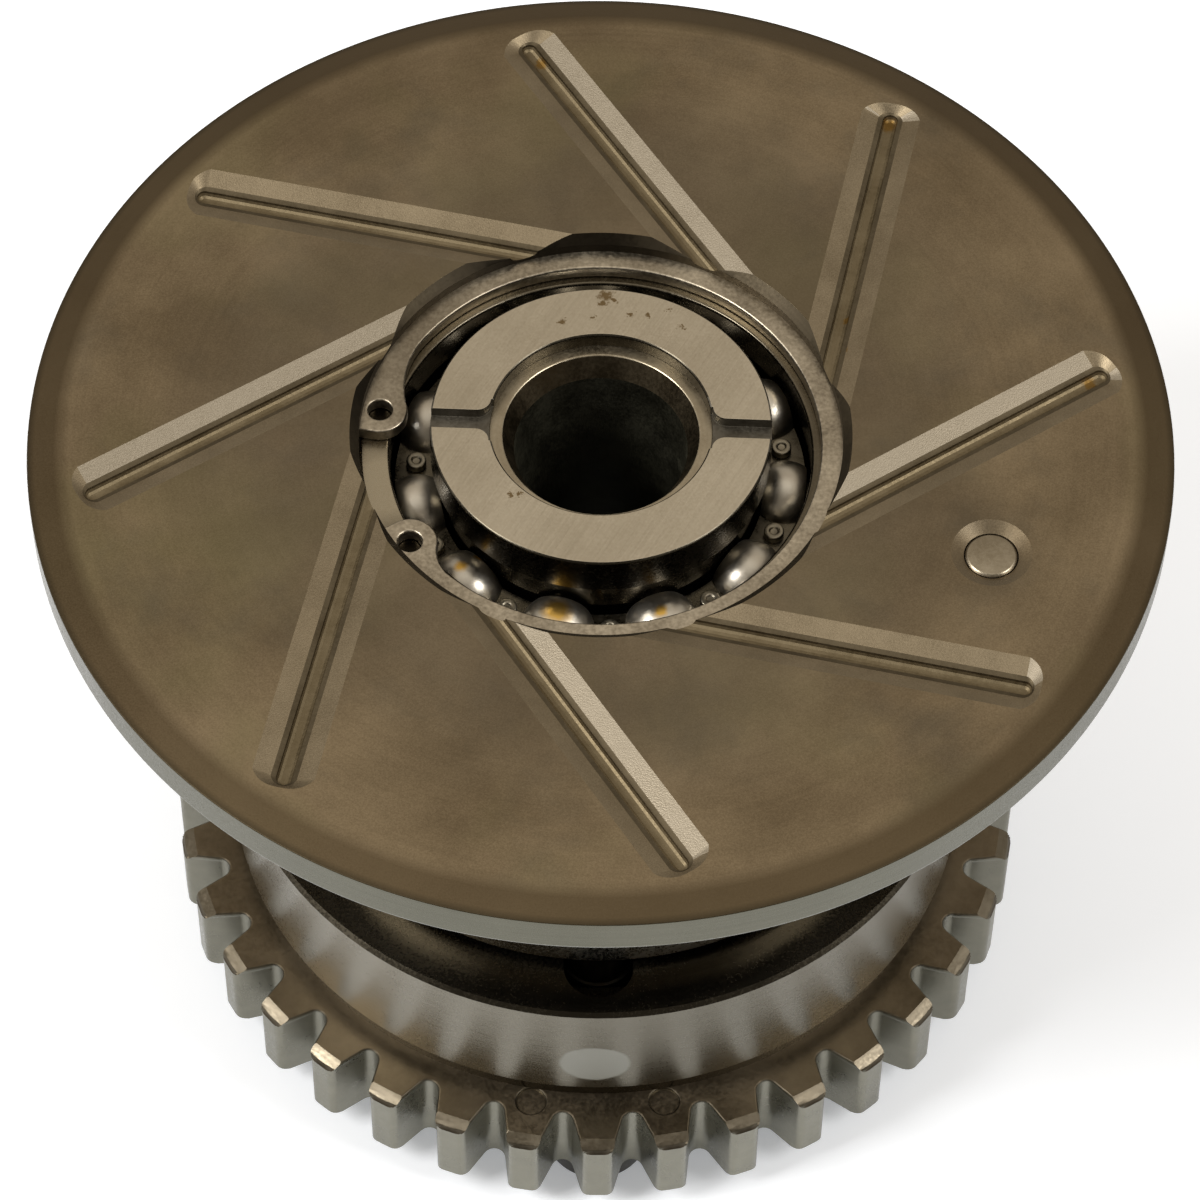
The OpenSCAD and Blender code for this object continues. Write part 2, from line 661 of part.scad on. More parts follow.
module cage_rivets() {
    color([0.60, 0.59, 0.55]) at_balls(0.5) {
        translate([0, 0, -cage_t - rivet_head_h]) cylinder(2 * (cage_t + rivet_head_h), d = rivet_d);
        translate([0, 0, cage_t]) cylinder(rivet_head_h, d = rivet_head_d);
        translate([0, 0, -cage_t - rivet_head_h]) cylinder(rivet_head_h, d = rivet_head_d);
    }
}

module at_lever_pins() {
    for (a = window_angles) rotate(a + rest_angle) translate([lever_len, 0, 0]) children();
}

// The three levers spread from a flange that runs on the sprocket's face
module lever_plate() {
    circle(journal_d / 2 + flange_w);
    for (a = window_angles) rotate(a + rest_angle) {
        translate([lever_len, 0]) circle(eye_r);
        translate([0, -arm_w / 2]) square([lever_len - lever_pin_d / 2, arm_w]);
    }
}

module camshaft_hub() {
    color([0.47, 0.46, 0.43])
    difference() {
        union() {
            rotate_extrude() polygon([
                [0, z_back], [journal_d / 2, z_back], [journal_d / 2, z_lever + lever_t / 2],
                [neck_r, z_lever + lever_t / 2], [neck_r, z_wall], [hub_r, z_wall], [hub_r, z_bearing],
                [bearing_bore / 2, z_bearing], [bearing_bore / 2, z_hub_end], [0, z_hub_end]]);
            translate([0, 0, z_lever]) linear_extrude(lever_t) lever_plate();
        }
        at_lever_pins() translate([0, 0, z_lever - eps]) cylinder(lever_t + 2 * eps, d = lever_pin_d);
        translate([0, 0, z_bolt_seat]) cylinder(z_hub_end - z_bolt_seat + eps, d = tool_bore);
        translate([0, 0, z_hub_end - tool_bore_cone])
            cylinder(tool_bore_cone + eps, d1 = tool_bore, d2 = tool_bore + 2 * tool_bore_cone_w);
        translate([0, 0, z_back - eps]) cylinder(z_bolt_seat - z_back + 2 * eps, d = bolt_hole_d);
        translate([0, 0, z_back - eps]) cylinder(nose_depth + eps, d = nose_d);
        rotate(front_angle) translate([(nose_d + bolt_hole_d) / 4, 0, z_nose - eps])
            cylinder(cam_dowel_depth + eps, d = cam_dowel_d);
    }
}

// Tool slot outline along X: it opens with rounded corners into the collar's bore
function slot_corner(side) = [for (i = [0 : arc_steps])
    [collar_bore / 2 + tool_slot_flare, side * (tool_slot_w / 2 + tool_slot_flare)]
        + tool_slot_flare * [-cos(90 * i / arc_steps), -side * sin(90 * i / arc_steps)]];
slot_outline = concat(
    [[0, tool_slot_w / 2 + tool_slot_flare]], slot_corner(1),
    [[collar_d, tool_slot_w / 2], [collar_d, -tool_slot_w / 2]],
    reversed(slot_corner(-1)), [[0, -tool_slot_w / 2 - tool_slot_flare]]);

module front_collar() {
    color([0.66, 0.64, 0.58])
    difference() {
        rotate_extrude() polygon([
            [bearing_bore / 2, z_bearing_front], [collar_d / 2, z_bearing_front],
            [collar_d / 2, z_collar - collar_break], [collar_d / 2 - collar_break, z_collar],
            [collar_bore / 2 + collar_break, z_collar], [collar_bore / 2, z_collar - collar_break],
            [collar_bore / 2, z_hub_end], [bearing_bore / 2, z_hub_end]]);
        for (k = [0 : tool_slot_n - 1]) rotate(tool_slot_angle + k * 360 / tool_slot_n)
            translate([0, 0, z_collar - tool_slot_depth]) linear_extrude(tool_slot_depth + eps)
            polygon(slot_outline);
    }
}

module lever_pins() {
    color([0.60, 0.60, 0.58])
    at_lever_pins() translate([0, 0, z_lever]) cylinder(z_link_top - z_lever, d = lever_pin_d);
}

// A link reaches from its lever pin to its window, and the post at its end carries the guide pin
module link_outline() {
    rotate(rest_angle) translate([lever_len, 0]) circle(eye_r);
    translate([tip_out_r, 0]) {
        circle(tip_d / 2 + tip_shoulder);
        rotate(180 - rest_angle) translate([0, -arm_w / 2]) square([lever_len - lever_pin_d / 2, arm_w]);
    }
}
module link(i) {
    color([0.48, 0.47, 0.45])
    rotate(window_angles[i]) difference() {
        union() {
            translate([0, 0, z_link]) linear_extrude(z_link_top - z_link) link_outline();
            translate([tip_out_r, 0, z_link + tip_shoulder])
                cylinder(z_tip - z_link - tip_shoulder, d = tip_d);
        }
        rotate(rest_angle) translate([lever_len, 0, z_link - eps])
            cylinder(z_link_top - z_link + 2 * eps, d = lever_pin_d + 2 * running_gap);
        translate([tip_out_r, 0, z_guide_spring])
            cylinder(z_tip - z_guide_spring + eps, d = guide_d + 2 * running_gap);
    }
}
module guide_pin(i) {
    color([0.62, 0.62, 0.60])
    rotate(window_angles[i]) translate([tip_out_r, 0, 0]) {
        translate([0, 0, z_guide]) cylinder(guide_l, d = guide_d);
        translate([0, 0, z_guide_ball]) sphere(d = guide_ball_d);
    }
}
module guide_spring(i) {
    wire_r = guide_wire_d / 2;
    r = guide_d / 2 - slide_gap - wire_r;
    rise = guide_spring_l - guide_wire_d;
    steps = small_coil_steps * guide_turns;
    color([0.40, 0.40, 0.42])
    rotate(window_angles[i]) translate([tip_out_r, 0, z_guide_spring + wire_r])
        tube([for (k = [0 : steps]) concat(on_circle(r, 360 * guide_turns * k / steps), rise * k / steps)],
            wire_r, coil_sides);
}
module link_1() { link(0); }
module link_2() { link(1); }
module link_3() { link(2); }
module guide_pin_1() { guide_pin(0); }
module guide_pin_2() { guide_pin(1); }
module guide_pin_3() { guide_pin(2); }
module guide_spring_1() { guide_spring(0); }
module guide_spring_2() { guide_spring(1); }
module guide_spring_3() { guide_spring(2); }

chain_sprocket();
guide_drum();
rear_screws();
spring_anchor_pin();
brake_disc();
spiral_plate();
disc_dowel();
retaining_ring();
bearing_outer_ring();
return_spring();
bearing_balls();
cage_front();
cage_rear();
cage_rivets();
camshaft_hub();
front_collar();
bearing_inner_ring();
lever_pins();
link_1();
link_2();
link_3();
guide_pin_1();
guide_pin_2();
guide_pin_3();
guide_spring_1();
guide_spring_2();
guide_spring_3();
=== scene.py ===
# %% [markdown]
# # A cam phaser with a grooved brake disc
# The part is a stack of turned and ground steel pieces: a grooved disc on a ball bearing,
# a hub with a bored collar, a coil spring, a drum and a chain sprocket.
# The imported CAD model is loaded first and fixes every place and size.
# Each visible piece is then remade with rounded edges and a worn, oily finish.

import math

import bmesh
import bpy
from mathutils import Matrix, Vector


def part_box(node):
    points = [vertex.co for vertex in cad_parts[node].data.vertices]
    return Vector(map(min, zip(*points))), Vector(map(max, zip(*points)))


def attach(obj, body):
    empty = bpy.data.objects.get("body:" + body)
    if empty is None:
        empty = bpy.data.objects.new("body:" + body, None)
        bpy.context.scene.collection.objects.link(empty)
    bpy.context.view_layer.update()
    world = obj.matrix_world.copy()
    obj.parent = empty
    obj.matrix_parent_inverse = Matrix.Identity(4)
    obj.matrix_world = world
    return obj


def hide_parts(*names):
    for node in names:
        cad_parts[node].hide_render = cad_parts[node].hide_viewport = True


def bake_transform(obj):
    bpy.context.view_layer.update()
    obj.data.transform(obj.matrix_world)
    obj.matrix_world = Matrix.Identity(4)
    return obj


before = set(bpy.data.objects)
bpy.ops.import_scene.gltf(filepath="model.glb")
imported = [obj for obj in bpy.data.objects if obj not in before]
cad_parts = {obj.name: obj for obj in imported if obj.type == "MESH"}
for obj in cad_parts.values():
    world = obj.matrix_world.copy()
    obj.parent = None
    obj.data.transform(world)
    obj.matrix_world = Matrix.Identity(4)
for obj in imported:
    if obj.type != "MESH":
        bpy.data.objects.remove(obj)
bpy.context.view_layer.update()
MM = 0.001

# %% [markdown]
# ## Camera
# The part was photographed from the front and above, with a long lens, so the disc is a wide ellipse.
# The camera looks at the middle of the disc's rim from its own distance and height.
# A hand-held camera is never quite level, so it also rolls by less than a degree.

# %% Camera
VIEW_HEIGHT = math.radians(55.34)
VIEW_ROLL = math.radians(0.75)
VIEW_TURN = math.radians(-0.8)
VIEW_DISTANCE = 585 * MM
VIEW_TARGET = Vector((0, 0, 88.5 * MM))
VIEW_SHIFT = (0.1365 * MM, -18.85 * MM)

look = Vector((0, math.cos(VIEW_HEIGHT), -math.sin(VIEW_HEIGHT)))
rise = Vector((0, math.sin(VIEW_HEIGHT), math.cos(VIEW_HEIGHT)))
right = Vector((1, 0, 0))
stand = VIEW_TARGET - VIEW_DISTANCE * look + VIEW_SHIFT[0] * right + VIEW_SHIFT[1] * rise
side = right * math.cos(VIEW_ROLL) + rise * math.sin(VIEW_ROLL)
upright = rise * math.cos(VIEW_ROLL) - right * math.sin(VIEW_ROLL)
camera_data = bpy.data.cameras.new("camera")
camera_data.sensor_width = 36
camera_data.lens = 154.71
camera = bpy.data.objects.new("camera", camera_data)
bpy.context.collection.objects.link(camera)
axes = Matrix((side, upright, -look)).transposed().to_4x4()
camera.matrix_world = Matrix.Rotation(VIEW_TURN, 4, "Z") @ Matrix.Translation(stand) @ axes
bpy.context.scene.camera = camera
print("camera at", [round(v, 3) for v in camera.matrix_world.translation])

# %% [markdown]
# ## Floor and light
# Polished steel shows what stands around it more than its own colour.
# In the photograph the upright faces mirror a white table, the faces that look up mirror a dim, warm room,
# and two soft boxes stand left and right: they light the bevels of the teeth on both sides, but not in the middle.
# So the floor is bright, and the sky is dim and warm, paler straight above and dimmest behind the camera.
# The pale top lights the slopes that lean towards the camera, and leaves the slopes that lean away as dim as the flats.

# %% Floor
def stage_finish(name, colour):
    finish = bpy.data.materials.new(name)
    finish.use_nodes = True
    shader = finish.node_tree.nodes["Principled BSDF"]
    shader.inputs["Base Color"].default_value = (*colour, 1)
    shader.inputs["Roughness"].default_value = 0.9
    shader.inputs["Specular IOR Level"].default_value = 0.1
    shader.inputs["Emission Color"].default_value = (*colour, 1)
    shader.inputs["Emission Strength"].default_value = 0.3
    return finish


FLOOR_HALF = 6
floor_mesh = bmesh.new()
bmesh.ops.create_grid(floor_mesh, x_segments=1, y_segments=1, size=FLOOR_HALF)
floor_data = bpy.data.meshes.new("floor")
floor_mesh.to_mesh(floor_data)
floor_mesh.free()
floor_data.materials.append(stage_finish("pale_floor", (0.87, 0.90, 0.95)))
floor = bpy.data.objects.new("floor", floor_data)
bpy.context.collection.objects.link(floor)
print("floor", floor.name)

# %% Sky and lamps
bpy.context.scene.view_settings.view_transform = "Standard"
world = bpy.data.worlds.new("studio")
bpy.context.scene.world = world
world.use_nodes = True
sky = world.node_tree
sky_place = sky.nodes.new("ShaderNodeTexCoord")
sky_height = sky.nodes.new("ShaderNodeSeparateXYZ")
sky_ramp = sky.nodes.new("ShaderNodeValToRGB")
sky.links.new(sky_place.outputs["Generated"], sky_height.inputs[0])
sky.links.new(sky_height.outputs["Z"], sky_ramp.inputs["Fac"])
sky.links.new(sky_ramp.outputs["Color"], sky.nodes["Background"].inputs["Color"])
stops = sky_ramp.color_ramp.elements
stops[0].position, stops[0].color = 0.0, (0.55, 0.53, 0.49, 1)
stops[1].position, stops[1].color = 1.0, (0.95, 0.88, 0.77, 1)
for position, colour in ((0.42, (0.52, 0.47, 0.40)), (0.82, (0.52, 0.45, 0.36))):
    stops.new(position).color = (*colour, 1)
sky_dim = sky.nodes.new("ShaderNodeMapRange")
for key, value in (("From Min", -0.7), ("From Max", 0.2), ("To Min", 0.4), ("To Max", 1.0)):
    sky_dim.inputs[key].default_value = value
sky.links.new(sky_height.outputs["Y"], sky_dim.inputs["Value"])
sky.links.new(sky_dim.outputs[0], sky.nodes["Background"].inputs["Strength"])


def lamp(name, place, aim, size, watts, colour):
    data = bpy.data.lights.new(name, "AREA")
    data.size, data.energy, data.color = size, watts, colour
    thing = bpy.data.objects.new(name, data)
    thing.location = place
    thing.rotation_euler = (Vector(aim) - Vector(place)).to_track_quat("-Z", "Y").to_euler()
    bpy.context.collection.objects.link(thing)


BOX_X, BOX_Y, BOX_Z, BOX_SIZE, BOX_COLOUR = 0.95, -0.33, 1.0, 0.5, (1.0, 0.98, 0.95)
LEFT_WATTS, RIGHT_WATTS = 14.5, 8.5
aim_at = (0, 0, 50 * MM)
lamp("left_box", (-BOX_X, BOX_Y, BOX_Z), aim_at, BOX_SIZE, LEFT_WATTS, BOX_COLOUR)
lamp("right_box", (BOX_X, BOX_Y, BOX_Z), aim_at, BOX_SIZE, RIGHT_WATTS, BOX_COLOUR)

# %% [markdown]
# ## Making a steel finish
# Every piece is steel, but each has been finished its own way: ground, turned, pressed, blasted or polished.
# One recipe serves them all. Slow clouds of oil stain change the colour, fine grain changes the roughness,
# and tool lines follow the way the piece was cut. All of it reads Object coordinates, so it stays put on the piece.

# %% Node helpers
def add(tree, kind, inputs=(), **settings):
    made = tree.nodes.new("ShaderNode" + kind)
    for key, value in settings.items():
        setattr(made, key, value)
    for key, value in dict(inputs).items():
        if isinstance(value, bpy.types.NodeSocket):
            tree.links.new(value, made.inputs[key])
        else:
            made.inputs[key].default_value = value
    return made


def noise(tree, place, scale, detail=3.0, rough=0.55):
    made = add(tree, "TexNoise", {"Vector": place, "Scale": scale, "Detail": detail, "Roughness": rough})
    return made.outputs[0]


def spread(tree, value, low, high, to_low=0.0, to_high=1.0):
    names = ("Value", "From Min", "From Max", "To Min", "To Max")
    made = add(tree, "MapRange", dict(zip(names, (value, low, high, to_low, to_high))))
    return made.outputs[0]


def blend(tree, share, first, second):
    colours = [v if isinstance(v, bpy.types.NodeSocket) else (*v, 1) for v in (first, second)]
    return add(tree, "Mix", {0: share, 6: colours[0], 7: colours[1]}, data_type="RGBA").outputs[2]


def maths(tree, way, first, second=0.0):
    return add(tree, "Math", {0: first, 1: second}, operation=way).outputs[0]


# %% Places measured round the axis
def polar(tree, place):
    flat = add(tree, "VectorMath", {0: place, 1: (1, 1, 0)}, operation="MULTIPLY").outputs[0]
    radius = add(tree, "VectorMath", {0: flat}, operation="LENGTH").outputs["Value"]
    heading = add(tree, "VectorMath", {0: flat}, operation="NORMALIZE").outputs[0]
    return radius, heading


def arc_streaks(tree, place, along, across):
    radius, heading = polar(tree, place)
    stretched = add(tree, "VectorMath", {0: heading, "Scale": along}, operation="SCALE").outputs[0]
    rung = add(tree, "CombineXYZ", {"Z": maths(tree, "MULTIPLY", radius, across)}).outputs[0]
    return add(tree, "VectorMath", {0: stretched, 1: rung}, operation="ADD").outputs[0]


# %% Steel recipe
ARC_LENGTH, BUMP_GAIN = 2.6, 2.5
CLOUD_LOW, CLOUD_HIGH, GRAIN_LOW, GRAIN_HIGH, GLOSS_LOW, GLOSS_HIGH = 0.32, 0.68, 0.3, 0.7, 0.4, 1.6


def steel(name, light, dark, rough, lines="none", line_scale=2200, line_depth=0.25,
          cloud=45, grain=2600, grain_depth=0.12, rough_swing=0.08, shares=(0.55, 0.25, 0.2)):
    finish = bpy.data.materials.new(name)
    finish.use_nodes = True
    tree = finish.node_tree
    shader = tree.nodes["Principled BSDF"]
    shader.inputs["Metallic"].default_value = 1.0
    place = add(tree, "TexCoord").outputs["Object"]
    drift = arc_streaks(tree, place, ARC_LENGTH, cloud) if lines == "rings" else place
    clouds = noise(tree, drift, 1.0 if lines == "rings" else cloud, 4.0, 0.6)
    clouds = spread(tree, clouds, CLOUD_LOW, CLOUD_HIGH)
    grit = noise(tree, place, grain, 2.0)
    specks = spread(tree, grit, GRAIN_LOW, GRAIN_HIGH)
    if lines == "rings":
        cuts = noise(tree, arc_streaks(tree, place, 1.2, line_scale), 1.0, 2.0)
    elif lines == "turned":
        squash = add(tree, "Mapping", {"Vector": place, "Scale": (40, 40, line_scale)}).outputs[0]
        cuts = noise(tree, squash, 1.0, 2.0)
    elif lines == "brushed":
        squash = add(tree, "Mapping", {
            "Vector": place, "Rotation": (0, 0, math.radians(-30)), "Scale": (1 / line_scale, 1 / 60, 1 / 60)},
            vector_type="TEXTURE").outputs[0]
        cuts = noise(tree, squash, 1.0, 3.0)
    else:
        cuts = noise(tree, place, line_scale / 4, 2.0)
    height = maths(tree, "ADD", maths(tree, "MULTIPLY", grit, BUMP_GAIN * grain_depth),
                   maths(tree, "MULTIPLY", cuts, BUMP_GAIN * line_depth))
    shade = 0.0
    for part, share in zip((clouds, spread(tree, cuts, GRAIN_LOW, GRAIN_HIGH), specks), shares):
        shade = maths(tree, "ADD", shade, maths(tree, "MULTIPLY", part, share))
    tree.links.new(blend(tree, shade, dark, light), shader.inputs["Base Color"])
    gloss = spread(tree, maths(tree, "ADD", specks, clouds), GLOSS_LOW, GLOSS_HIGH,
                   rough - rough_swing, rough + rough_swing)
    tree.links.new(gloss, shader.inputs["Roughness"])
    bump = add(tree, "Bump", {"Height": height, "Strength": 0.35, "Distance": 0.06 * MM})
    tree.links.new(bump.outputs[0], shader.inputs["Normal"])
    return finish


# %% Stains and spots
def stain(finish, mask, colour, dull=None):
    tree = finish.node_tree
    shader = tree.nodes["Principled BSDF"]
    old = shader.inputs["Base Color"].links[0].from_socket
    tree.links.new(blend(tree, mask, old, colour), shader.inputs["Base Color"])
    if dull is not None:
        gloss = shader.inputs["Roughness"].links[0].from_socket
        mixed = add(tree, "Mix", {0: mask, 2: gloss, 3: dull}, data_type="FLOAT").outputs[0]
        tree.links.new(mixed, shader.inputs["Roughness"])


SPOT_CORE, SPOT_EDGE = 0.6, 1.4


def spots(tree, places, wobble_scale, wobble, strength):
    place = add(tree, "TexCoord").outputs["Object"]
    flat = add(tree, "VectorMath", {0: place, 1: (1, 1, 0)}, operation="MULTIPLY").outputs[0]
    ragged = maths(tree, "SUBTRACT", noise(tree, place, wobble_scale, 3.0, 0.7), 0.5)
    ragged = maths(tree, "MULTIPLY", ragged, wobble * MM)
    mask = 0.0
    for x, y, reach in places:
        gap = add(tree, "VectorMath", {0: flat, 1: (x * MM, y * MM, 0)}, operation="DISTANCE").outputs["Value"]
        edge = maths(tree, "ADD", gap, ragged)
        spot = spread(tree, edge, SPOT_CORE * reach * MM, SPOT_EDGE * reach * MM, strength, 0.0)
        mask = maths(tree, "MAXIMUM", mask, spot)
    return mask


# %% [markdown]
# ## Working in rings
# Almost every piece here was turned on a lathe, so it is a section spun about the axis.
# The section is a few points, spin makes the ring, and a bevel rounds the edges that the lathe would leave.
# A piece with cuts is spun first and cut with a Boolean, which is how the milling cutter works too.

# %% Rings and edges
WELD = 1e-7


def spun(section, steps=160):
    ring = bmesh.new()
    points = [ring.verts.new((r * MM, 0, z * MM)) for r, z in section]
    lines = [ring.edges.new(pair) for pair in zip(points, points[1:] + points[:1])]
    bmesh.ops.spin(ring, geom=points + lines, cent=(0, 0, 0), axis=(0, 0, 1), dvec=(0, 0, 0),
                   angle=math.tau, steps=steps, use_merge=True)
    bmesh.ops.remove_doubles(ring, verts=ring.verts, dist=WELD)
    bmesh.ops.recalc_face_normals(ring, faces=ring.faces)
    return ring


def round_edges(shape, width, sharper=35, segments=2, only=None, clamp=True):
    limit = math.radians(sharper)
    edges = [e for e in shape.edges if e.is_manifold and e.calc_face_angle(0) > limit and (only is None or only(e))]
    bmesh.ops.bevel(shape, geom=edges, offset=width * MM, offset_type="OFFSET", affect="EDGES",
                    segments=segments, profile=0.5, clamp_overlap=clamp, material=-1)
    return len(edges)


# %% Objects and cuts
def to_object(shape, name, *finishes):
    data = bpy.data.meshes.new(name)
    shape.to_mesh(data)
    shape.free()
    for finish in finishes:
        data.materials.append(finish)
    thing = bpy.data.objects.new(name, data)
    bpy.context.collection.objects.link(thing)
    return thing


def cut_away(shape, cutter, name, way="DIFFERENCE"):
    blank, tool = to_object(shape, name), to_object(cutter, name + "_cutter")
    cut = blank.modifiers.new("cut", "BOOLEAN")
    cut.object, cut.operation, cut.solver = tool, way, "EXACT"
    graph = bpy.context.evaluated_depsgraph_get()
    result = bmesh.new()
    result.from_mesh(blank.evaluated_get(graph).to_mesh())
    for used in (blank, tool):
        data = used.data
        bpy.data.objects.remove(used)
        bpy.data.meshes.remove(data)
    bmesh.ops.remove_doubles(result, verts=result.verts, dist=WELD)
    bmesh.ops.dissolve_limit(result, angle_limit=math.radians(0.02), verts=result.verts, edges=result.edges,
                             delimit={"MATERIAL"})
    return result


# %% A finished piece
def piece(shape, name, body, *nodes, finishes, smooth=32):
    for face in shape.faces:
        face.smooth = True
    for edge in shape.edges:
        kinds = {face.material_index for face in edge.link_faces}
        edge.smooth = edge.is_manifold and edge.calc_face_angle(0) < math.radians(smooth) and len(kinds) == 1
    thing = to_object(shape, name, *finishes)
    flats = thing.modifiers.new("flats", "WEIGHTED_NORMAL")
    flats.keep_sharp = True
    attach(thing, body)
    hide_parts(*nodes)
    print(name, "faces", len(thing.data.polygons))


# %% [markdown]
# ## Brake disc
# The disc is ground flat in front and slopes away at its rim. Eight oil grooves run off into its bearing bore.
# Grinding leaves faint rings, and oil has stained the face in long brown and olive clouds.
# A groove is a spun round end drawn out along its length, so one cutter with eight copies makes them all.
# Grooves keep their blasted skin, so the cutter carries the second finish with it.
# The walls of the slot in the middle of a groove are painted darker in thin strips, as painted shade in the slot.
# The flanks that lean back, steeply forward or to the right take a darker copy of the skin, as painted shade.

# %% Disc finishes
FACE_R, DISC_R = 61.2, 65
disc_face = steel("ground_brown_steel", (0.315, 0.246, 0.155), (0.162, 0.124, 0.077), 0.42, lines="rings",
                  line_scale=2400, line_depth=0.06, cloud=60, grain=5200, grain_depth=0.12, shares=(0.6, 0.12, 0.28))
disc_tree = disc_face.node_tree
disc_place = add(disc_tree, "TexCoord").outputs["Object"]
olive = spread(disc_tree, noise(disc_tree, disc_place, 34, 3.0), 0.48, 0.7, 0.0, 0.55)
stain(disc_face, olive, (0.225, 0.20, 0.105))
smeared = arc_streaks(disc_tree, disc_place, ARC_LENGTH, 60)
smudge = spread(disc_tree, noise(disc_tree, smeared, 1.3, 5.0, 0.6), 0.52, 0.74, 0.0, 0.5)
stain(disc_face, smudge, (0.12, 0.105, 0.078))
from_axis = polar(disc_tree, disc_place)[0]
uneven = maths(disc_tree, "MULTIPLY", noise(disc_tree, disc_place, 28, 3.0), 30 * MM)
worn_zone = spread(disc_tree, maths(disc_tree, "ADD", from_axis, uneven), 52 * MM, 66 * MM, 0.52, 0.0)
stain(disc_face, worn_zone, (0.15, 0.124, 0.088))
stain(disc_face, spread(disc_tree, from_axis, (FACE_R - 1.0) * MM, (FACE_R + 0.8) * MM, 0.0, 0.9), (0.10, 0.073, 0.041))
stain(disc_face, spread(disc_tree, from_axis, (DISC_R - 0.9) * MM, DISC_R * MM, 0.0, 0.8), (0.045, 0.036, 0.022))
groove_skin = steel("blasted_steel", (0.41, 0.362, 0.285), (0.27, 0.232, 0.172), 0.54, cloud=120,
                    grain=6500, grain_depth=0.7, line_depth=0.1, shares=(0.3, 0.1, 0.6))
# Painted shade: a darker copy of the blasted skin, for the flanks turned from the light.
shaded_skin = steel("shaded_blasted_steel", (0.30, 0.245, 0.165), (0.19, 0.152, 0.098), 0.5, cloud=120,
                  grain=6500, grain_depth=0.4, line_depth=0.1, shares=(0.4, 0.1, 0.5))
slot_floor = steel("slot_floor_steel", (0.25, 0.203, 0.128), (0.16, 0.126, 0.074), 0.55, cloud=160, grain_depth=0.3,
                   line_depth=0.1)
RESIDUE = ((34.3, 46.2, 0.9), (28.6, 16.9, 0.5), (27.9, 12.1, 0.4), (56.0, 7.9, 0.7), (-6.9, 55.7, 0.7))
for finish in (groove_skin, shaded_skin, slot_floor):
    stain(finish, spots(finish.node_tree, RESIDUE, 1600, 1.4, 0.8), (0.20, 0.11, 0.02))
rim_skin = steel("turned_rim_steel", (0.132, 0.128, 0.097), (0.094, 0.091, 0.067), 0.28,
                 lines="turned", line_scale=6000, line_depth=0.2, cloud=60, grain_depth=0.03, shares=(0.6, 0.3, 0.1))
# Painted shade: the slot walls are dark strips, as shade in the narrow slot.
slot_wall = steel("slot_wall_shade_steel", (0.145, 0.117, 0.075), (0.085, 0.068, 0.043), 0.5, cloud=200, grain_depth=0.1)
# Painted shade with oil: the bore mouth and its wall are near black, and darker still at the top and left.
mouth_skin = steel("oil_and_shade_mouth_steel", (0.075, 0.061, 0.04), (0.045, 0.036, 0.024), 0.5, lines="rings",
                   line_scale=2400, line_depth=0.05, cloud=120, grain_depth=0.03)
stain(mouth_skin, spots(mouth_skin.node_tree, ((-6, 27.5, 13), (-27, 8, 7)), 150, 8, 0.92), (0.016, 0.013, 0.009))
DISC_FINISHES = (disc_face, groove_skin, rim_skin, mouth_skin, slot_wall, slot_floor, shaded_skin)
IN_FACE, IN_GROOVE, IN_RIM, IN_MOUTH, IN_WALL, IN_FLOOR, IN_SHADED = range(len(DISC_FINISHES))
print("disc finishes", len(DISC_FINISHES))

# %% Disc blank
Z_DISC, Z_RIM, Z_FACE = 83.6, 88.5, 89.35
BEARING_R, MOUTH, RING_R, Z_BEARING, Z_FRONT, RING_T = 27.5, 1, 28.6, 72.35, 85.35, 1.75
WEB_R, SPIGOT_R, BOSS_R, Z_WEB, Z_BOSS = 24.5, 28, 33, 69.85, 66.35
disc = spun([
    (WEB_R, Z_WEB), (SPIGOT_R, Z_WEB), (SPIGOT_R, Z_BOSS), (BOSS_R, Z_BOSS), (BOSS_R, Z_DISC),
    (DISC_R, Z_DISC), (DISC_R, Z_RIM), (FACE_R, Z_FACE), (BEARING_R + MOUTH, Z_FACE), (BEARING_R, Z_FACE - MOUTH),
    (BEARING_R, Z_FRONT + RING_T), (RING_R, Z_FRONT + RING_T), (RING_R, Z_FRONT), (BEARING_R, Z_FRONT),
    (BEARING_R, Z_BEARING), (WEB_R, Z_BEARING)], steps=256)


def at_ring(edge, radius, z):
    return all(abs(v.co.xy.length / MM - radius) < 0.01 and abs(v.co.z / MM - z) < 0.01 for v in edge.verts)


round_edges(disc, 0.9, sharper=5, segments=4, only=lambda e: at_ring(e, FACE_R, Z_FACE))
round_edges(disc, 0.15, sharper=5, segments=3, only=lambda e: at_ring(e, DISC_R, Z_RIM))
round_edges(disc, 0.5, segments=3, only=lambda e: at_ring(e, DISC_R, Z_DISC))
print("disc blank faces", len(disc.faces))

# %% Groove cutter
FINE_WELD = 1e-8
GROOVE_N, GROOVE_END, GROOVE_OFFSET, GROOVE_ANGLE = 8, 57, 23.4, math.radians(8)
SLOT_HALF, GROOVE_HALF, LIFT, RUN_ON, TIP_SHARE = 0.85, 3.5, 1.5, 0.85, 0.62
WALL_FOOT, LEDGE, CREASE, FLANK = -1.25, -0.98, -0.93, -0.8
GROOVE_SECTION = ((0, -1.8), (0.4, -1.74), (0.68, -1.55), (0.82, WALL_FOOT), (0.9, LEDGE), (1.12, CREASE),
                  (1.46, FLANK), (GROOVE_HALF, 0), (GROOVE_HALF + 0.4, LIFT), (0, LIFT))


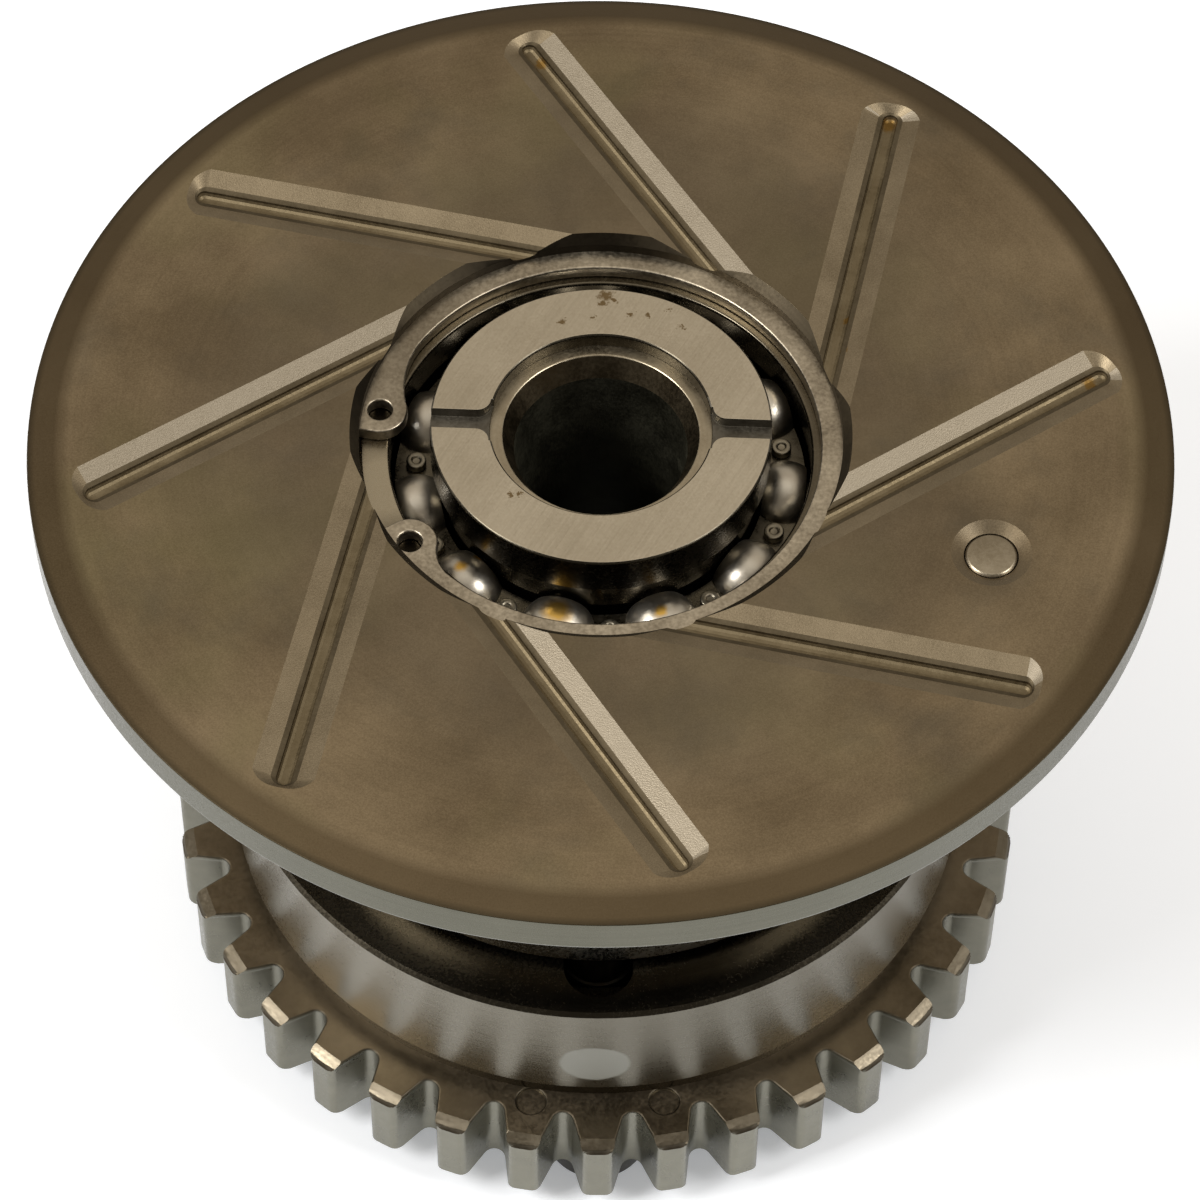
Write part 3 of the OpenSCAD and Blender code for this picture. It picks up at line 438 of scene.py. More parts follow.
def groove_cutter():
    cutter = bmesh.new()
    slant = math.asin(GROOVE_OFFSET / GROOVE_END)
    points = [cutter.verts.new((0, y * MM, z * MM)) for y, z in GROOVE_SECTION]
    lines = [cutter.edges.new(pair) for pair in zip(points, points[1:])]
    bmesh.ops.spin(cutter, geom=points + lines, cent=(0, 0, 0), axis=(0, 0, 1), dvec=(0, 0, 0),
                   angle=math.pi, steps=24)
    bmesh.ops.remove_doubles(cutter, verts=cutter.verts, dist=FINE_WELD)
    for vert in cutter.verts:
        reach = vert.co.xy.length
        if reach > SLOT_HALF * MM:
            kept = SLOT_HALF * MM + (reach - SLOT_HALF * MM) * (1 - TIP_SHARE * abs(vert.co.x) / reach)
            vert.co.x, vert.co.y = vert.co.x * kept / reach, vert.co.y * kept / reach
    bmesh.ops.translate(cutter, verts=cutter.verts, vec=(-RUN_ON * MM, 0, 0))
    mouth = [e for e in cutter.edges if e.is_boundary]
    drawn = bmesh.ops.extrude_edge_only(cutter, edges=mouth)["geom"]
    length = (GROOVE_END * math.cos(slant) + RUN_ON) * MM
    bmesh.ops.translate(cutter, verts=[g for g in drawn if isinstance(g, bmesh.types.BMVert)], vec=(length, 0, 0))
    bmesh.ops.holes_fill(cutter, edges=[e for e in cutter.edges if e.is_boundary], sides=0)
    place = Matrix.Translation((GROOVE_END * MM, 0, Z_FACE * MM)) @ Matrix.Rotation(math.pi + slant, 4, "Z")
    bmesh.ops.transform(cutter, matrix=Matrix.Rotation(GROOVE_ANGLE, 4, "Z") @ place, verts=cutter.verts)
    bmesh.ops.spin(cutter, geom=cutter.verts[:] + cutter.edges[:] + cutter.faces[:], cent=(0, 0, 0),
                   axis=(0, 0, 1), dvec=(0, 0, 0), angle=math.tau * (GROOVE_N - 1) / GROOVE_N,
                   steps=GROOVE_N - 1, use_duplicate=True)
    bmesh.ops.recalc_face_normals(cutter, faces=cutter.faces)
    for face in cutter.faces:
        face.material_index = IN_GROOVE
    return cutter


disc = cut_away(disc, groove_cutter(), "disc")
print("disc faces after the grooves", len(disc.faces))

# %% Dowel hole in the disc
DOWEL_R, DOWEL_ANGLE, DOWEL_D, SINK_D, SINK_DEPTH, DOWEL_DROP = 46.7, math.radians(-21.3), 5.9, 9.1, 0.7, 0.4
HOLE_ROOM, OVERCUT = 0.12, 0.5
dowel_at = Vector((DOWEL_R * math.cos(DOWEL_ANGLE) * MM, DOWEL_R * math.sin(DOWEL_ANGLE) * MM, 0))
hole = spun([(0, Z_DISC - 1), (DOWEL_D / 2 + HOLE_ROOM, Z_DISC - 1), (DOWEL_D / 2 + HOLE_ROOM, Z_FACE - SINK_DEPTH),
             (SINK_D / 2, Z_FACE), (SINK_D / 2 + OVERCUT, Z_FACE + OVERCUT), (0, Z_FACE + OVERCUT)], steps=64)
bmesh.ops.translate(hole, verts=hole.verts, vec=dowel_at)
disc = cut_away(disc, hole, "disc")
print("disc edges rounded", round_edges(disc, 0.1, sharper=40))

# %% Finish of each face of the disc
LEANS_BACK, LEANS_AHEAD, LEANS_RIGHT = 0.05, -0.33, 0.3
RIM_BAND, NEAR, BELOW = 0.35, 0.05, 0.02


def disc_finish(face):
    middle, lean = face.calc_center_median(), face.normal
    reach, level = middle.xy.length / MM, middle.z / MM - Z_FACE
    if reach > DISC_R - RIM_BAND and level < Z_RIM - Z_FACE - NEAR:
        return IN_RIM
    if face.material_index == IN_FACE:
        return IN_MOUTH if reach < BEARING_R + MOUTH + NEAR and level < -BELOW else IN_FACE
    if level < WALL_FOOT:
        return IN_FLOOR
    if WALL_FOOT < level < FLANK:
        return IN_WALL
    # Painted shade: flanks leaning back, steeply forward or to the right get the darker copy.
    in_shade = lean.y > LEANS_BACK or lean.y < LEANS_AHEAD or lean.x > LEANS_RIGHT
    return IN_SHADED if in_shade else IN_GROOVE


for face in disc.faces:
    face.material_index = disc_finish(face)
piece(disc, "grooved_disc", "rotor", "brake_disc", finishes=DISC_FINISHES, smooth=15)

# %% [markdown]
# ## Dowel in the disc
# A hardened pin sits in a countersunk hole in the disc and holds the end of the return spring.
# Its end is turned with a bevel, so a spun section is enough.

# %% Disc dowel
pin_steel = steel("pin_steel", (0.40, 0.35, 0.265), (0.27, 0.23, 0.165), 0.32, cloud=300, line_depth=0.1)
Z_DOWEL, DOWEL_BEVEL = 71.8, 0.3
dowel = spun([(0, Z_DOWEL), (DOWEL_D / 2, Z_DOWEL), (DOWEL_D / 2, Z_FACE - DOWEL_DROP - DOWEL_BEVEL),
              (DOWEL_D / 2 - DOWEL_BEVEL, Z_FACE - DOWEL_DROP), (0, Z_FACE - DOWEL_DROP)], steps=64)
round_edges(dowel, 0.1, sharper=30)
bmesh.ops.translate(dowel, verts=dowel.verts, vec=dowel_at)
piece(dowel, "bevelled_dowel", "rotor", "disc_dowel", finishes=(pin_steel,))

# %% [markdown]
# ## Copies of CAD pieces with softened edges
# Some pieces have outlines that the CAD model already holds exactly, such as the retaining ring and the sprocket.
# A copy of their mesh is merged into one skin, its flat triangles are dissolved into whole faces,
# and a bevel breaks the edges, as deburring does on the real part.

# %% Softened copy
CAD_WELD, SAME_PLANE = 2e-6, math.radians(0.4)


def softened(node, width, segments=2):
    shape = bmesh.new()
    shape.from_mesh(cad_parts[node].data)
    bmesh.ops.remove_doubles(shape, verts=shape.verts, dist=CAD_WELD)
    bmesh.ops.dissolve_limit(shape, angle_limit=SAME_PLANE, verts=shape.verts, edges=shape.edges)
    for face in shape.faces:
        face.material_index = 0
    if width:
        round_edges(shape, width, segments=segments)
    return shape


# %% [markdown]
# ## Retaining ring
# A stamped spring ring holds the bearing in the disc. Two lugs with holes take the pliers.
# Stamping leaves rolled edges, which catch a bright line of light.

# %% Retaining ring
ring_steel = steel("stamped_ring_steel", (0.62, 0.55, 0.43), (0.225, 0.195, 0.15), 0.38,
                   cloud=140, grain=2300, grain_depth=0.3, line_depth=0.1, shares=(0.4, 0.15, 0.45))
stain(ring_steel, spots(ring_steel.node_tree, ((-22, 14, 9),), 200, 6, 0.5), (0.13, 0.105, 0.07))
ring = softened("retaining_ring", 0.3, segments=3)
piece(ring, "snap_ring", "rotor", "retaining_ring", finishes=(ring_steel,))

# %% [markdown]
# ## Ball bearing
# The bearing has two hardened rings, eleven balls and a pressed cage in two riveted halves.
# The rings are spun with their raceways, and chamfers lead to their faces.
# Oil and painted shade lie black on them; the outer face is paler in the gap of the retaining ring, and painted near
# black as shade under the holes of its lugs.
# The cage is drawn from sheet, so each pocket is a dome on a flat ribbon.

# %% Bearing rings
# Painted shade with oil: a near-black finish for faces in shade, under the collar, under the disc and inside the drum.
black_oil_and_shade = steel("oil_and_shade_black_steel", (0.10, 0.088, 0.066), (0.04, 0.035, 0.026), 0.26, lines="rings",
                  line_scale=1800, line_depth=0.03, grain_depth=0.02, cloud=120)
bearing_steel = steel("bearing_steel", (0.20, 0.175, 0.13), (0.10, 0.086, 0.062), 0.26,
                      lines="rings", line_scale=3000, line_depth=0.05, grain_depth=0.02, cloud=90)
PALE_IN_GAP, SHADE_IN_LUG_HOLES = ((-24.9, -5.1, 5.5),), ((-25.2, 4.5, 1.7), (-21.5, -13.9, 1.7))
# The outer face is paler in the gap of the retaining ring.
stain(bearing_steel, spots(bearing_steel.node_tree, PALE_IN_GAP, 300, 2, 1.0), (0.46, 0.41, 0.31))
# Painted shade: near black under the holes in the lugs of the retaining ring.
stain(bearing_steel, spots(bearing_steel.node_tree, SHADE_IN_LUG_HOLES, 900, 0.4, 1.0), (0.012, 0.010, 0.007))
Z_BALLS, PITCH_R, BALL_R, RACE_R, BORE_R = 78.85, 21.25, 3.572, 3.602, 15
INNER_LAND, OUTER_LAND, RACE_STEPS = 18.398, 24.102, 12


def race(land, turn):
    reach = math.acos(abs(land - PITCH_R) / RACE_R)
    heading = 0 if turn > 0 else math.pi
    return [(PITCH_R + RACE_R * math.cos(heading + t), Z_BALLS + RACE_R * math.sin(heading + t))
            for t in [reach - 2 * reach * k / RACE_STEPS for k in range(RACE_STEPS + 1)]]


outer = spun([(OUTER_LAND, Z_BEARING), (BEARING_R, Z_BEARING), (BEARING_R, Z_FRONT), (OUTER_LAND, Z_FRONT)]
             + race(OUTER_LAND, 1))
inner = spun([(BORE_R, Z_BEARING), (INNER_LAND, Z_BEARING)] + race(INNER_LAND, -1)
             + [(INNER_LAND, Z_FRONT), (BORE_R, Z_FRONT)])
for shape, name, body, node, finish in ((outer, "outer_race", "rotor", "bearing_outer_ring", bearing_steel),
                                        (inner, "inner_race", "hub", "bearing_inner_ring", black_oil_and_shade)):
    round_edges(shape, 0.35, sharper=50, segments=3)
    for face in shape.faces:
        face.material_index = int(face.normal.z < 0.2)
    piece(shape, name, body, node, finishes=(finish, black_oil_and_shade))

# %% Cage finishes with a film of amber oil
cage_steel = steel("pressed_cage_steel", (0.70, 0.655, 0.57), (0.50, 0.465, 0.40), 0.34,
                   cloud=260, grain_depth=0.03, line_depth=0.03, rough_swing=0.05, shares=(0.6, 0.3, 0.1))
ribbon_steel = steel("oiled_ribbon_steel", (0.20, 0.18, 0.14), (0.08, 0.07, 0.05), 0.3, cloud=400,
                     grain_depth=0.1, line_depth=0.1)
AMBER = ((-5.0, -20.6, 1.5), (6.7, -20.6, 0.7), (-15.8, -14.6, 0.7), (-0.2, -21.2, 0.45), (2.0, -21.3, 0.45),
         (-13.9, -13.0, 0.5), (-5.2, -17.6, 0.4), (-3.4, -17.8, 0.4))
for finish in (cage_steel, ribbon_steel):
    stain(finish, spots(finish.node_tree, AMBER, 900, 0.9, 0.85), (0.72, 0.42, 0.04))
print("amber spots", len(AMBER))

# %% Cage halves
BALL_N, BALL_ANGLE, CAGE_T, CAGE_IN, CAGE_OUT = 11, math.radians(-5.4), 0.9, 18.898, 23.602
DOME_R, POCKET_R, DOME_FOOT = 4.35, 3.7, 0.1


def all_round(shape, count):
    bmesh.ops.spin(shape, geom=shape.verts[:] + shape.edges[:] + shape.faces[:], cent=(0, 0, 0), axis=(0, 0, 1),
                   dvec=(0, 0, 0), angle=math.tau * (count - 1) / count, steps=count - 1, use_duplicate=True)
    return shape


def balls_of(radius):
    shape = bmesh.new()
    bmesh.ops.create_uvsphere(shape, u_segments=40, v_segments=24, radius=radius * MM)
    bmesh.ops.translate(shape, verts=shape.verts, vec=(PITCH_R * MM, 0, Z_BALLS * MM))
    bmesh.ops.rotate(shape, verts=shape.verts, cent=(0, 0, 0), matrix=Matrix.Rotation(BALL_ANGLE, 3, "Z"))
    return all_round(shape, BALL_N)


def cage_half(facing):
    ribbon = spun([(CAGE_IN - 1, Z_BALLS - 1), (CAGE_OUT + 1, Z_BALLS - 1),
                   (CAGE_OUT + 1, Z_BALLS + CAGE_T), (CAGE_IN - 1, Z_BALLS + CAGE_T)], steps=132)
    band = spun([(CAGE_IN, Z_BALLS), (CAGE_OUT, Z_BALLS), (CAGE_OUT, Z_FRONT), (CAGE_IN, Z_FRONT)], steps=132)
    half = cut_away(ribbon, balls_of(DOME_R), "cage", "UNION")
    half = cut_away(half, band, "cage", "INTERSECT")
    half = cut_away(half, balls_of(POCKET_R), "cage")
    round_edges(half, 0.18, sharper=40)
    for face in half.faces:
        face.material_index = int(face.calc_center_median().z / MM < Z_BALLS + CAGE_T + DOME_FOOT)
    if facing < 0:
        flip = Matrix.Translation((0, 0, 2 * Z_BALLS * MM)) @ Matrix.Scale(-1, 4, (0, 0, 1))
        bmesh.ops.transform(half, matrix=flip, verts=half.verts)
        bmesh.ops.recalc_face_normals(half, faces=half.faces)
    return half


for facing, name, node in ((1, "domed_cage_front", "cage_front"), (-1, "domed_cage_rear", "cage_rear")):
    piece(cage_half(facing), name, "cage", node, finishes=(cage_steel, ribbon_steel), smooth=40)

# %% Rivets with dished heads, and the balls
RIVET_R, RIVET_HEAD_R, RIVET_HEAD_H, DISH_R, DISH_FOOT_R = 0.8, 1.15, 1.0, 0.55, 0.4
SLIVER = 2e-7
rivet_steel = steel("rivet_steel", (0.42, 0.38, 0.30), (0.22, 0.20, 0.155), 0.38, cloud=700, line_depth=0.1)
rivet = spun([(0, Z_BALLS - CAGE_T - RIVET_HEAD_H), (RIVET_HEAD_R, Z_BALLS - CAGE_T - RIVET_HEAD_H),
              (RIVET_HEAD_R, Z_BALLS - CAGE_T), (RIVET_R, Z_BALLS - CAGE_T), (RIVET_R, Z_BALLS + CAGE_T),
              (RIVET_HEAD_R, Z_BALLS + CAGE_T), (RIVET_HEAD_R, Z_BALLS + CAGE_T + RIVET_HEAD_H),
              (DISH_R, Z_BALLS + CAGE_T + RIVET_HEAD_H), (DISH_FOOT_R, Z_BALLS + CAGE_T + 0.8 * RIVET_HEAD_H),
              (0, Z_BALLS + CAGE_T + 0.75 * RIVET_HEAD_H)], steps=28)
round_edges(rivet, 0.26, sharper=50, segments=3)
bmesh.ops.remove_doubles(rivet, verts=rivet.verts, dist=SLIVER)
bmesh.ops.translate(rivet, verts=rivet.verts, vec=(PITCH_R * MM, 0, 0))
bmesh.ops.rotate(rivet, verts=rivet.verts, cent=(0, 0, 0),
                 matrix=Matrix.Rotation(BALL_ANGLE + math.pi / BALL_N, 3, "Z"))
piece(all_round(rivet, BALL_N), "dished_rivets", "cage", "cage_rivets", finishes=(rivet_steel,))
polished = steel("polished_ball_steel", (0.62, 0.60, 0.56), (0.54, 0.52, 0.48), 0.08, rough_swing=0.03,
                 grain_depth=0.02, line_depth=0.02)
piece(balls_of(BALL_R), "polished_balls", "cage", "bearing_balls", finishes=(polished,), smooth=60)

# %% [markdown]
# ## Front collar and hub
# The collar is the brightest face: it was ground last, straight across, so fine parallel lines cross it.
# A few specks of rust sit on it. Two slots take a tool, and the deep bore behind it is dark.

# %% Collar
collar_steel = steel("ground_collar_steel", (0.60, 0.54, 0.43), (0.46, 0.41, 0.32), 0.36, lines="brushed",
                     line_scale=4600, line_depth=0.45, cloud=60, grain=3500, grain_depth=0.06, shares=(0.45, 0.4, 0.15))
Z_COLLAR, SLOT_IN, SLOT_OUT, SLOT_REACH, SLOT_DROP = 90.5, 12.65, 19.35, 3.5, 1.5
RUST = ((0.6, 18.2, 0.75), (0.2, 17.2, 0.4), (1.5, 17.7, 0.3), (-4.4, 14.5, 0.28), (3.4, 15.6, 0.22), (5.4, 15.4, 0.2),
        (9.3, 13.8, 0.22), (-0.8, 15.2, 0.16), (-10.1, -10.0, 0.25), (-9.2, -9.9, 0.2), (7.8, 16.4, 0.18))
stain(collar_steel, spots(collar_steel.node_tree, RUST, 1900, 2.6, 0.85), (0.15, 0.092, 0.026))
slot_skin = steel("milled_slot_steel", (0.19, 0.175, 0.145), (0.09, 0.08, 0.064), 0.45, cloud=300, grain_depth=0.2)
# Faces below the top, the collar's side among them, take the near-black finish of painted shade with oil.
ON_TOP, IN_SLOT, BELOW_TOP = range(3)
collar = softened("front_collar", 0.08)
for face in collar.faces:
    middle = face.calc_center_median() / MM
    if face.normal.z > 0.9 and middle.z > Z_COLLAR - 0.05:
        face.material_index = ON_TOP
    elif abs(middle.y) < SLOT_REACH and middle.z > Z_COLLAR - SLOT_DROP and SLOT_IN < middle.xy.length < SLOT_OUT:
        face.material_index = IN_SLOT
    else:
        face.material_index = BELOW_TOP
piece(collar, "slotted_collar", "hub", "front_collar", finishes=(collar_steel, slot_skin, black_oil_and_shade))

# %% Hub
hub_steel = steel("hub_steel", (0.26, 0.225, 0.165), (0.17, 0.145, 0.10), 0.34, lines="turned", cloud=70)
ledge_steel = steel("ledge_steel", (0.50, 0.44, 0.33), (0.32, 0.275, 0.20), 0.35, lines="rings", line_scale=2600,
                    line_depth=0.1, cloud=300)
cone_steel = steel("cone_steel", (0.13, 0.106, 0.07), (0.075, 0.06, 0.039), 0.4, lines="rings",
                   line_depth=0.1, cloud=300)
deep_black = steel("deep_bore_steel", (0.16, 0.155, 0.112), (0.085, 0.081, 0.058), 0.5, cloud=200)
Z_LEDGE, CONE_R, Z_CONE, CORE_R, Z_CORE = 88.3, 11.4, 85.8, 10.1, 19
ON_LEDGE, ON_CONE, IN_BORE = 1, 2, 3
hub = softened("camshaft_hub", 0.12)
for face in hub.faces:
    reaches, z = [v.co.xy.length / MM for v in face.verts], face.calc_center_median().z / MM
    if z > Z_LEDGE and face.normal.z > 0.7:
        face.material_index = ON_LEDGE
    elif min(reaches) < CONE_R and z > Z_CONE and face.normal.z > 0.1:
        face.material_index = ON_CONE
    elif max(reaches) < CORE_R and z > Z_CORE:
        face.material_index = IN_BORE
piece(hub, "bored_hub", "hub", "camshaft_hub", finishes=(hub_steel, ledge_steel, cone_steel, deep_black))

# %% [markdown]
# ## Spiral plate and return spring
# Behind the disc a sleeve carries a plate, whose rear face has three spirals.
# Around the sleeve the return spring is wound. A spin with a lift at every step winds the wire into a coil,
# two short spins bend its ends outwards, and the ends are drawn out to their pins.

# %% Spiral plate
# Painted shade with oil: the plate under the disc is dark.
plate_steel = steel("oil_and_shade_plate_steel", (0.17, 0.155, 0.125), (0.09, 0.08, 0.06), 0.3, lines="turned", cloud=60)
# Painted highlight: the rounded outer edge gets a lighter copy of the plate's finish.
edge_steel = steel("plate_edge_highlight_steel", (0.36, 0.33, 0.27), (0.24, 0.22, 0.175), 0.3, lines="turned", cloud=60)
PLATE_EDGE_R = 37.6
plate = softened("spiral_plate", 0.2)
for face in plate.faces:
    reach = max(v.co.xy.length for v in face.verts) / MM
    face.material_index = int(reach > PLATE_EDGE_R and abs(face.normal.z) < 0.95)
piece(plate, "spiral_sleeve", "rotor", "spiral_plate", finishes=(plate_steel, edge_steel))

# %% Return spring wire
COIL_R, WIRE_R, PITCH, BEND_R, STEPS_PER_TURN = 36, 2, 7.2, 6, 48
COIL_FROM, COIL_TURN, Z_COIL = math.radians(95.58), math.radians(1316.99), 47
BEND_TURN = BEND_R / COIL_R
START_R, END_R = 45.46, 52.6
START_LEG, END_LEG = START_R - COIL_R - BEND_R, END_R - COIL_R - BEND_R
spring_steel = steel("spring_steel", (0.15, 0.145, 0.135), (0.09, 0.085, 0.08), 0.32, cloud=120)


def draw_end(wire, loop, angle, z, turn, leg):
    outward = Vector((math.cos(angle), math.sin(angle), 0))
    pivot = (COIL_R + BEND_R) * MM * outward + Vector((0, 0, z * MM))
    bent = bmesh.ops.spin(wire, geom=loop, cent=pivot, axis=(0, 0, 1), dvec=(0, 0, 0),
                          angle=-turn * math.pi / 2, steps=10)["geom_last"]
    drawn = bmesh.ops.extrude_edge_only(wire, edges=[g for g in bent if isinstance(g, bmesh.types.BMEdge)])["geom"]
    far = [g for g in drawn if isinstance(g, bmesh.types.BMVert)]
    bmesh.ops.translate(wire, verts=far, vec=outward * leg * MM)
    bmesh.ops.contextual_create(wire, geom=[g for g in drawn if isinstance(g, bmesh.types.BMEdge)])


def wound_spring():
    wire = bmesh.new()
    circle = bmesh.ops.create_circle(wire, segments=16, radius=WIRE_R * MM)["verts"]
    bmesh.ops.rotate(wire, verts=circle, cent=(0, 0, 0), matrix=Matrix.Rotation(math.pi / 2, 3, "X"))
    start = COIL_FROM + BEND_TURN
    sweep = COIL_TURN - 2 * BEND_TURN
    steps = round(STEPS_PER_TURN * sweep / math.tau)
    z_start = Z_COIL + PITCH * BEND_TURN / math.tau
    bmesh.ops.translate(wire, verts=circle, vec=(COIL_R * MM, 0, z_start * MM))
    bmesh.ops.rotate(wire, verts=circle, cent=(0, 0, 0), matrix=Matrix.Rotation(start, 3, "Z"))
    first = circle + list({e for v in circle for e in v.link_edges})
    last = bmesh.ops.spin(wire, geom=first, cent=(0, 0, 0), axis=(0, 0, 1),
                          dvec=(0, 0, PITCH * sweep / math.tau / steps * MM), angle=sweep, steps=steps)["geom_last"]
    draw_end(wire, first, start, z_start, -1, START_LEG)
    draw_end(wire, last, start + sweep, z_start + PITCH * sweep / math.tau, 1, END_LEG)
    bmesh.ops.remove_doubles(wire, verts=wire.verts, dist=WELD)
    bmesh.ops.recalc_face_normals(wire, faces=wire.faces)
    return wire


# %% Return spring
def smooth_spring(wire, name):
    thing = to_object(wire, name, spring_steel)
    thing.data.shade_smooth()
    thing.data.set_sharp_from_angle(angle=math.radians(40))
    print(name, "faces", len(thing.data.polygons))
    return thing


coil = smooth_spring(wound_spring(), "wound_spring")
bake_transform(coil)
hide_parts("return_spring")

# %% [markdown]
# ## Guide drum
# The drum is turned and polished, so it mirrors the teeth below it as soft upright bands.
# Its front face, in the shade of the disc, is painted black as shade with oil, a broad band of painted shade darkens
# the side around the middle and right, and one dab of pale paint marks it.

# %% Drum finish
DRUM_R, Z_DRUM = 45.16, 35
# Painted shade: a broad band darkens the drum around the middle and right, where the light is weaker.
SHADE_BAND_X, SHADE_BAND_CORE, SHADE_BAND_REACH = 9, 6, 38
drum_steel = steel("polished_drum_steel", (0.25, 0.228, 0.182), (0.185, 0.168, 0.13), 0.28,
                   lines="turned", line_scale=9000, line_depth=0.4, cloud=50, grain_depth=0.01, rough_swing=0.03,
                   shares=(0.85, 0.1, 0.05))
drum_tree = drum_steel.node_tree
drum_place = add(drum_tree, "TexCoord").outputs["Object"]
across = add(drum_tree, "SeparateXYZ", {0: drum_place}).outputs["X"]
from_shade_band = maths(drum_tree, "ABSOLUTE", maths(drum_tree, "SUBTRACT", across, SHADE_BAND_X * MM))
painted_shade_band = spread(drum_tree, from_shade_band, SHADE_BAND_CORE * MM, SHADE_BAND_REACH * MM, 0.62, 0.0)
stain(drum_steel, painted_shade_band, (0.085, 0.078, 0.058))
PAINT, PAINT_HALF = (-0.4, -DRUM_R, 23.7), (4.4, 6.0, 3.9)
paint_place = add(drum_tree, "Mapping", {"Vector": drum_place, "Location": [-v * MM for v in PAINT]}).outputs[0]
paint_oval = add(drum_tree, "VectorMath", {0: paint_place, 1: [1 / (v * MM) for v in PAINT_HALF]},
                 operation="MULTIPLY").outputs[0]
paint_edge = add(drum_tree, "VectorMath", {0: paint_oval}, operation="LENGTH").outputs["Value"]
paint_edge = maths(drum_tree, "ADD", paint_edge, maths(drum_tree, "MULTIPLY", noise(drum_tree, paint_place, 700), 0.12))
paint_film = spread(drum_tree, paint_edge, 0.97, 1.06, 0.8, 0.0)
stain(drum_steel, paint_film, (0.262, 0.262, 0.23), dull=0.6)
drum_tree.links.new(spread(drum_tree, paint_film, 0.0, 1.0, 1.0, 0.0),
                    drum_tree.nodes["Principled BSDF"].inputs["Metallic"])
print("paint at", PAINT)

# %% Drum
FRONT_BAND, WALL_IN, HOLE_IN = 0.8, 0.5, 0.7
# Painted shade with oil: the front band under the disc and the faces set in from the wall take the near-black finish.
drum = softened("guide_drum", 0.12)
for face in drum.faces:
    rims, low = [v.co.xy.length / MM for v in face.verts], min(v.co.z for v in face.verts) / MM
    oiled_and_shaded = low > Z_DRUM - FRONT_BAND or max(rims) < DRUM_R - WALL_IN or min(rims) < DRUM_R - HOLE_IN
    face.material_index = int(oiled_and_shaded)
piece(drum, "polished_drum", "housing", "guide_drum", finishes=(drum_steel, black_oil_and_shade))

# %% [markdown]
# ## Chain sprocket
# Thirty-six teeth are hobbed into the rear ring, and their front ends are bevelled so that the chain finds them.
# Wear and tumbling have rounded the bevels into small noses.
# So each bevel is made narrower, cut across a few times, and its new points are pushed out along an arc.
# Then the front edges between the teeth are rounded.

# %% Sprocket finishes
Z_SPROCKET, BEVEL_IN, BEVEL_OUT, Z_BEVEL, WORN = 15.2, 49.861, 52.16, 13.607, 0.7
BEVEL_SLOPE = (Z_SPROCKET - Z_BEVEL) / (BEVEL_OUT - BEVEL_IN)
Z_NOSE_LOW = Z_BEVEL + BEVEL_SLOPE * WORN
tooth_steel = steel("hobbed_tooth_steel", (0.235, 0.226, 0.18), (0.165, 0.158, 0.125), 0.34, cloud=140,
                    grain_depth=0.03, line_depth=0.05)
front_steel = steel("oiled_front_steel", (0.25, 0.205, 0.142), (0.142, 0.116, 0.08), 0.4, cloud=90,
                    grain_depth=0.05, line_depth=0.05)
bevel_steel = steel("oiled_bevel_steel", (0.17, 0.147, 0.11), (0.115, 0.098, 0.07), 0.36, cloud=140,
                    grain_depth=0.05, line_depth=0.05)
bevel_tree = bevel_steel.node_tree
nose_height = add(bevel_tree, "SeparateXYZ", {0: add(bevel_tree, "TexCoord").outputs["Object"]}).outputs["Z"]
stain(bevel_steel, spread(bevel_tree, nose_height, (Z_NOSE_LOW + 0.1) * MM, (Z_NOSE_LOW + 0.55) * MM, 0.85, 0.0),
      (0.05, 0.039, 0.026))
print("bevel slope", round(BEVEL_SLOPE, 3))


# %% Narrower bevels
def polar_mm(vert):
    return vert.co.xy.length / MM, vert.co.z / MM


def shrink_bevels(shape):
    fronts, backs = [], set()
    for vert in shape.verts:
        reach, level = polar_mm(vert)
        if abs(level - Z_SPROCKET) < 0.01 and abs(reach - BEVEL_IN) < 0.03:
            fronts.append(vert)
        elif abs(Z_SPROCKET - BEVEL_SLOPE * (reach - BEVEL_IN) - level) < 0.03 and Z_BEVEL - 0.05 < level < Z_SPROCKET:
            backs.add(vert)
    for vert in fronts:
        ahead = [far for far in (edge.other_vert(vert) for edge in vert.link_edges) if far in backs]
        if ahead:
            far = max(ahead, key=lambda other: polar_mm(other)[0])
            vert.co.xy = vert.co.xy.lerp(far.co.xy, WORN / (polar_mm(far)[0] - BEVEL_IN))
        else:
            vert.co.xy = vert.co.xy * (1 + WORN / BEVEL_IN)
    for vert in backs:
        vert.co.z += BEVEL_SLOPE * WORN * MM
    return len(fronts)


# %% Bevels pushed out into noses
NOSE_SWELL, NOSE_STEPS = 0.3, 6


def swell_bevels(shape):
    for step in range(1, NOSE_STEPS):
        share = step / NOSE_STEPS
        reach = BEVEL_IN + WORN + (BEVEL_OUT - BEVEL_IN - WORN) * share
        level = Z_SPROCKET - BEVEL_SLOPE * (reach - BEVEL_IN - WORN)
        bmesh.ops.bisect_plane(shape, geom=shape.verts[:] + shape.edges[:] + shape.faces[:], dist=FINE_WELD,
                               plane_co=(0, 0, level * MM), plane_no=(0, 0, 1))
        for vert in shape.verts:
            off = [abs(a - b) for a, b in zip(polar_mm(vert), (reach, level))]
            if off[0] < 0.09 and off[1] < 0.005:
                vert.co.xy = vert.co.xy * (1 + NOSE_SWELL * math.sin(math.pi * share) / reach)


